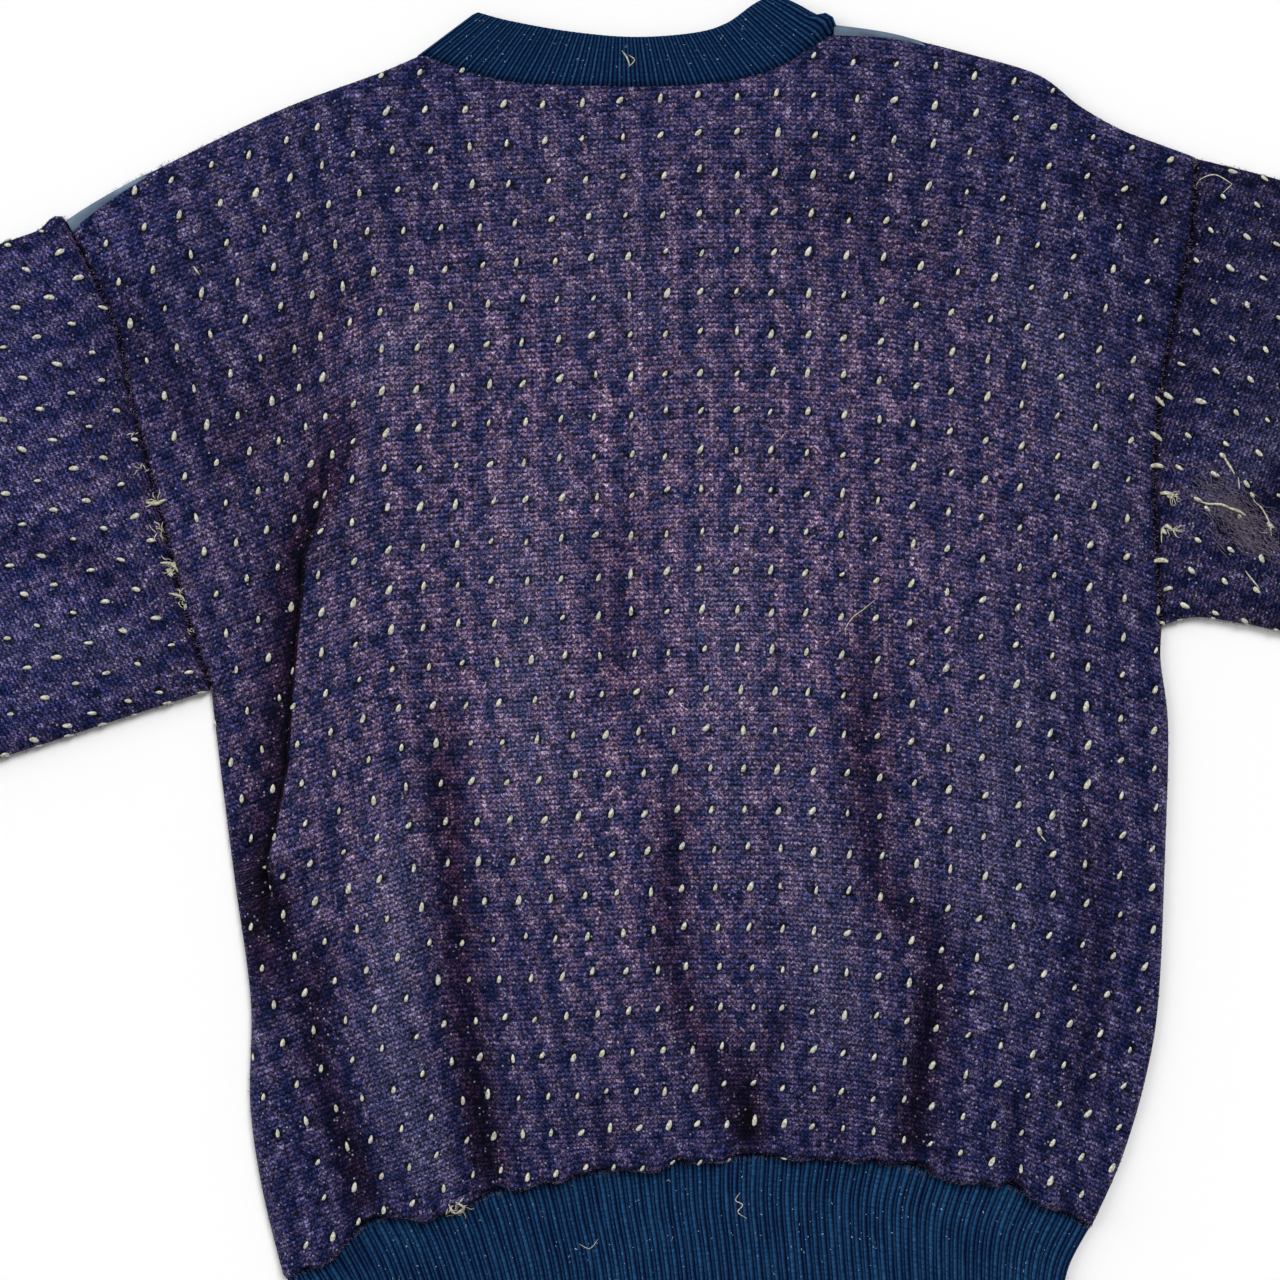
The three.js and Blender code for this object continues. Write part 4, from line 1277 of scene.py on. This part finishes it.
def buildThreads(bm):
    # cream yarn drawn out by the pull, and the knots and hairs elsewhere
    for path, radius in (
        ([(304, 92), (310, 89), (318, 88), (325, 85), (331, 83)], 0.75),
        ([(303, 93), (307, 90.5)], 1.3), ([(322, 86), (328, 84), (333, 81)], 1.0),
        ([(337, 94), (338.5, 89), (343, 84.5), (346.5, 76), (347, 68)], 0.45),
        ([(336, 94), (338, 91)], 1.2), ([(346, 70), (341, 70.5)], 0.3),
        ([(321, 117), (324, 111), (327, 105)], 0.7), ([(319.5, 117.5), (322.5, 115)], 1.4),
        ([(329, 103), (329.3, 96)], 0.3), ([(330.5, 49), (333, 45), (338, 38)], 0.5),
        ([(317, 274), (320, 277.6), (328, 279), (337, 273)], 0.4), ([(337, 273), (331, 268)], 0.3),
        ([(97, 25), (97.5, 30), (102, 36), (108, 40), (116, 45.5)], 0.3),
        ([(-11, 372), (-8.5, 368), (-7, 363)], 0.5), ([(-7, 369), (-4, 366), (-8, 362)], 0.35),
        ([(17, -293), (14, -297), (18, -300), (15, -304), (20, -308)], 0.35),
        ([(-151, -287), (-148, -293), (-143, -290), (-147, -286)], 0.9),
        ([(-150, -292), (-145, -294.5), (-142, -289)], 0.8), ([(-152, -290), (-154, -296)], 0.4),
        ([(-188, -333), (-181, -335), (-176, -335)], 0.22), ([(-78, -317), (-72, -320), (-67, -315)], 0.25),
        ([(201, -91), (202, -96)], 1.4), ([(202, -96), (205, -100)], 0.4),
        ([(-265, 261), (-262, 256)], 0.6),
    ):
        layStrand(bm, path, radius, rise=0.3, step=0.9, sides=5)
    # loose ends about the knot at the hem
    for _ in range(16):
        end = strayPath(-147 + random.gauss(0, 2), -291 + random.gauss(0, 2), random.uniform(3, 6),
                        random.uniform(0, 6.28), curl=0.9)
        layStrand(bm, end, 0.3, rise=0.6)


def buildLint(bm):
    # white lint and short hairs over the welt and neckband
    for _ in range(380):
        across, up = random.random(), random.random()
        if random.random() < 0.8:
            low, high = lines["weltEdge"](np.array(across)), lines["hem"](np.array(across))
            x, y = low + (high - low) * (0.08 + 0.84 * up)
        else:
            low, high = lines["neckBack"](np.array(across)), lines["bandBack"](np.array(across))
            x, y = low + (high - low) * (0.1 + 0.8 * up)
        hair = strayPath(x, y, random.choice((0.5, 0.6, 0.7, 0.9, 1.6)), random.uniform(0, 6.28), curl=0.5)
        layStrand(bm, hair, random.uniform(0.12, 0.3), rise=0.1, step=0.8)


# Seams and folds that wool stands off, and how many hairs each has
fuzzyEdges = {
    "hem": 520, "sideLeft": 330, "sideRight": 330, "sleeveLeftTop": 300, "sleeveLeftUnder": 300,
    "sleeveRightTop": 300, "sleeveRightUnder": 300, "shoulderLeft": 240, "shoulderRight": 220,
    "armLeft": 260, "armRight": 260,
}


def buildFuzz(bm):
    for name, count in fuzzyEdges.items():
        for _ in range(count):
            t = random.random()
            at = lines[name](np.array(t))
            ahead = lines[name](np.array(min(t + 0.01, 1))) - lines[name](np.array(max(t - 0.01, 0)))
            tangent = math.atan2(ahead[1], ahead[0])
            heading = tangent + random.choice((-1, 1)) * math.pi / 2 + random.gauss(0, 0.7)
            start = at - np.array([math.cos(heading), math.sin(heading)]) * random.uniform(0.3, 2.5)
            if name == "hem":
                start = start - np.array([0, 2.5])
            hair = strayPath(*start, random.uniform(1.6, 3.6), heading, curl=0.45)
            layStrand(bm, hair, random.uniform(0.09, 0.17), rise=random.uniform(0.2, 0.9), sides=3)


details = [
    showStrands("armholeDarning", buildStitches, "cream"),
    showStrands("armholeTufts", buildTufts, "cream"),
    showStrands("pulledPatch", buildPatch, "darn"),
    showStrands("drawnThreads", buildThreads, "cream"),
    showStrands("lint", buildLint, "lint"),
    showStrands("edgeFuzz", buildFuzz, "plumFuzz"),
]
print("darning and loose fibre:", [len(piece.data.polygons) for piece in details])

# Floor, light and camera

studio = {
    "floor": "#f2f2f2",
    "floorSize": 60,
    "floorDrop": 0.0006,         # so that nothing on the table is in its plane
    "sky": 0.35,
    "seenSky": 0.985,            # seen directly, the room is as white as the board
    # where from, strength, spread in degrees: a high window, and the far side of the room
    "suns": [((0.5, 0.72, 0.98), 2.15, 26), ((-0.88, 0.35, 0.46), 1.9, 46)],
}


def makeStudio():
    bm = bmesh.new()
    bmesh.ops.create_grid(bm, x_segments=1, y_segments=1, size=studio["floorSize"])
    mesh = takeMesh(bm, "floor")
    mesh.transform(Matrix.Translation((0, 0, -studio["floorDrop"])))
    material, shader, _ = newMaterial("pale matt board", 0.9)
    feed(shader, {"Base Color": colour(studio["floor"])})
    mesh.materials.append(material)
    putInScene("floor", mesh)
    world = bpy.data.worlds.new("soft room")
    bpy.context.scene.world = world
    world.use_nodes = True
    tree = world.node_tree
    sky = tree.nodes["Background"]
    feed(sky, {"Color": (1, 1, 1, 1), "Strength": studio["sky"]})
    seen = addNode(tree, "Background", {"Color": (*[studio["seenSky"]] * 3, 1)})
    rays = addNode(tree, "LightPath")
    mixed = addNode(tree, "MixShader", rays.outputs["Is Camera Ray"], sky, seen)
    feed(tree.nodes["World Output"], {"Surface": mixed})
    for at, strength, spread in studio["suns"]:
        lamp = bpy.data.lights.new("window", "SUN")
        lamp.energy = strength
        lamp.angle = math.radians(spread)
        light = putInScene("window", lamp)
        light.location = at
        light.rotation_euler = (-Vector(at)).to_track_quat("-Z", "Y").to_euler()


makeStudio()
# The view takes in its width at the height of the cloth, 6 mm above the table
view = {"at": (-0.0214, 0.0304), "height": 1.306, "clothTop": 0.006, "width": 0.7424, "turn": -3.5}
lens = bpy.data.cameras.new("camera")
lens.sensor_width = 36
lens.lens = lens.sensor_width * (view["height"] - view["clothTop"]) / view["width"]
camera = putInScene("camera", lens)
camera.location = (*view["at"], view["height"])
camera.rotation_euler = (0, 0, math.radians(view["turn"]))
bpy.context.scene.camera = camera
bpy.context.scene.view_settings.view_transform = "Standard"
print("studio made")
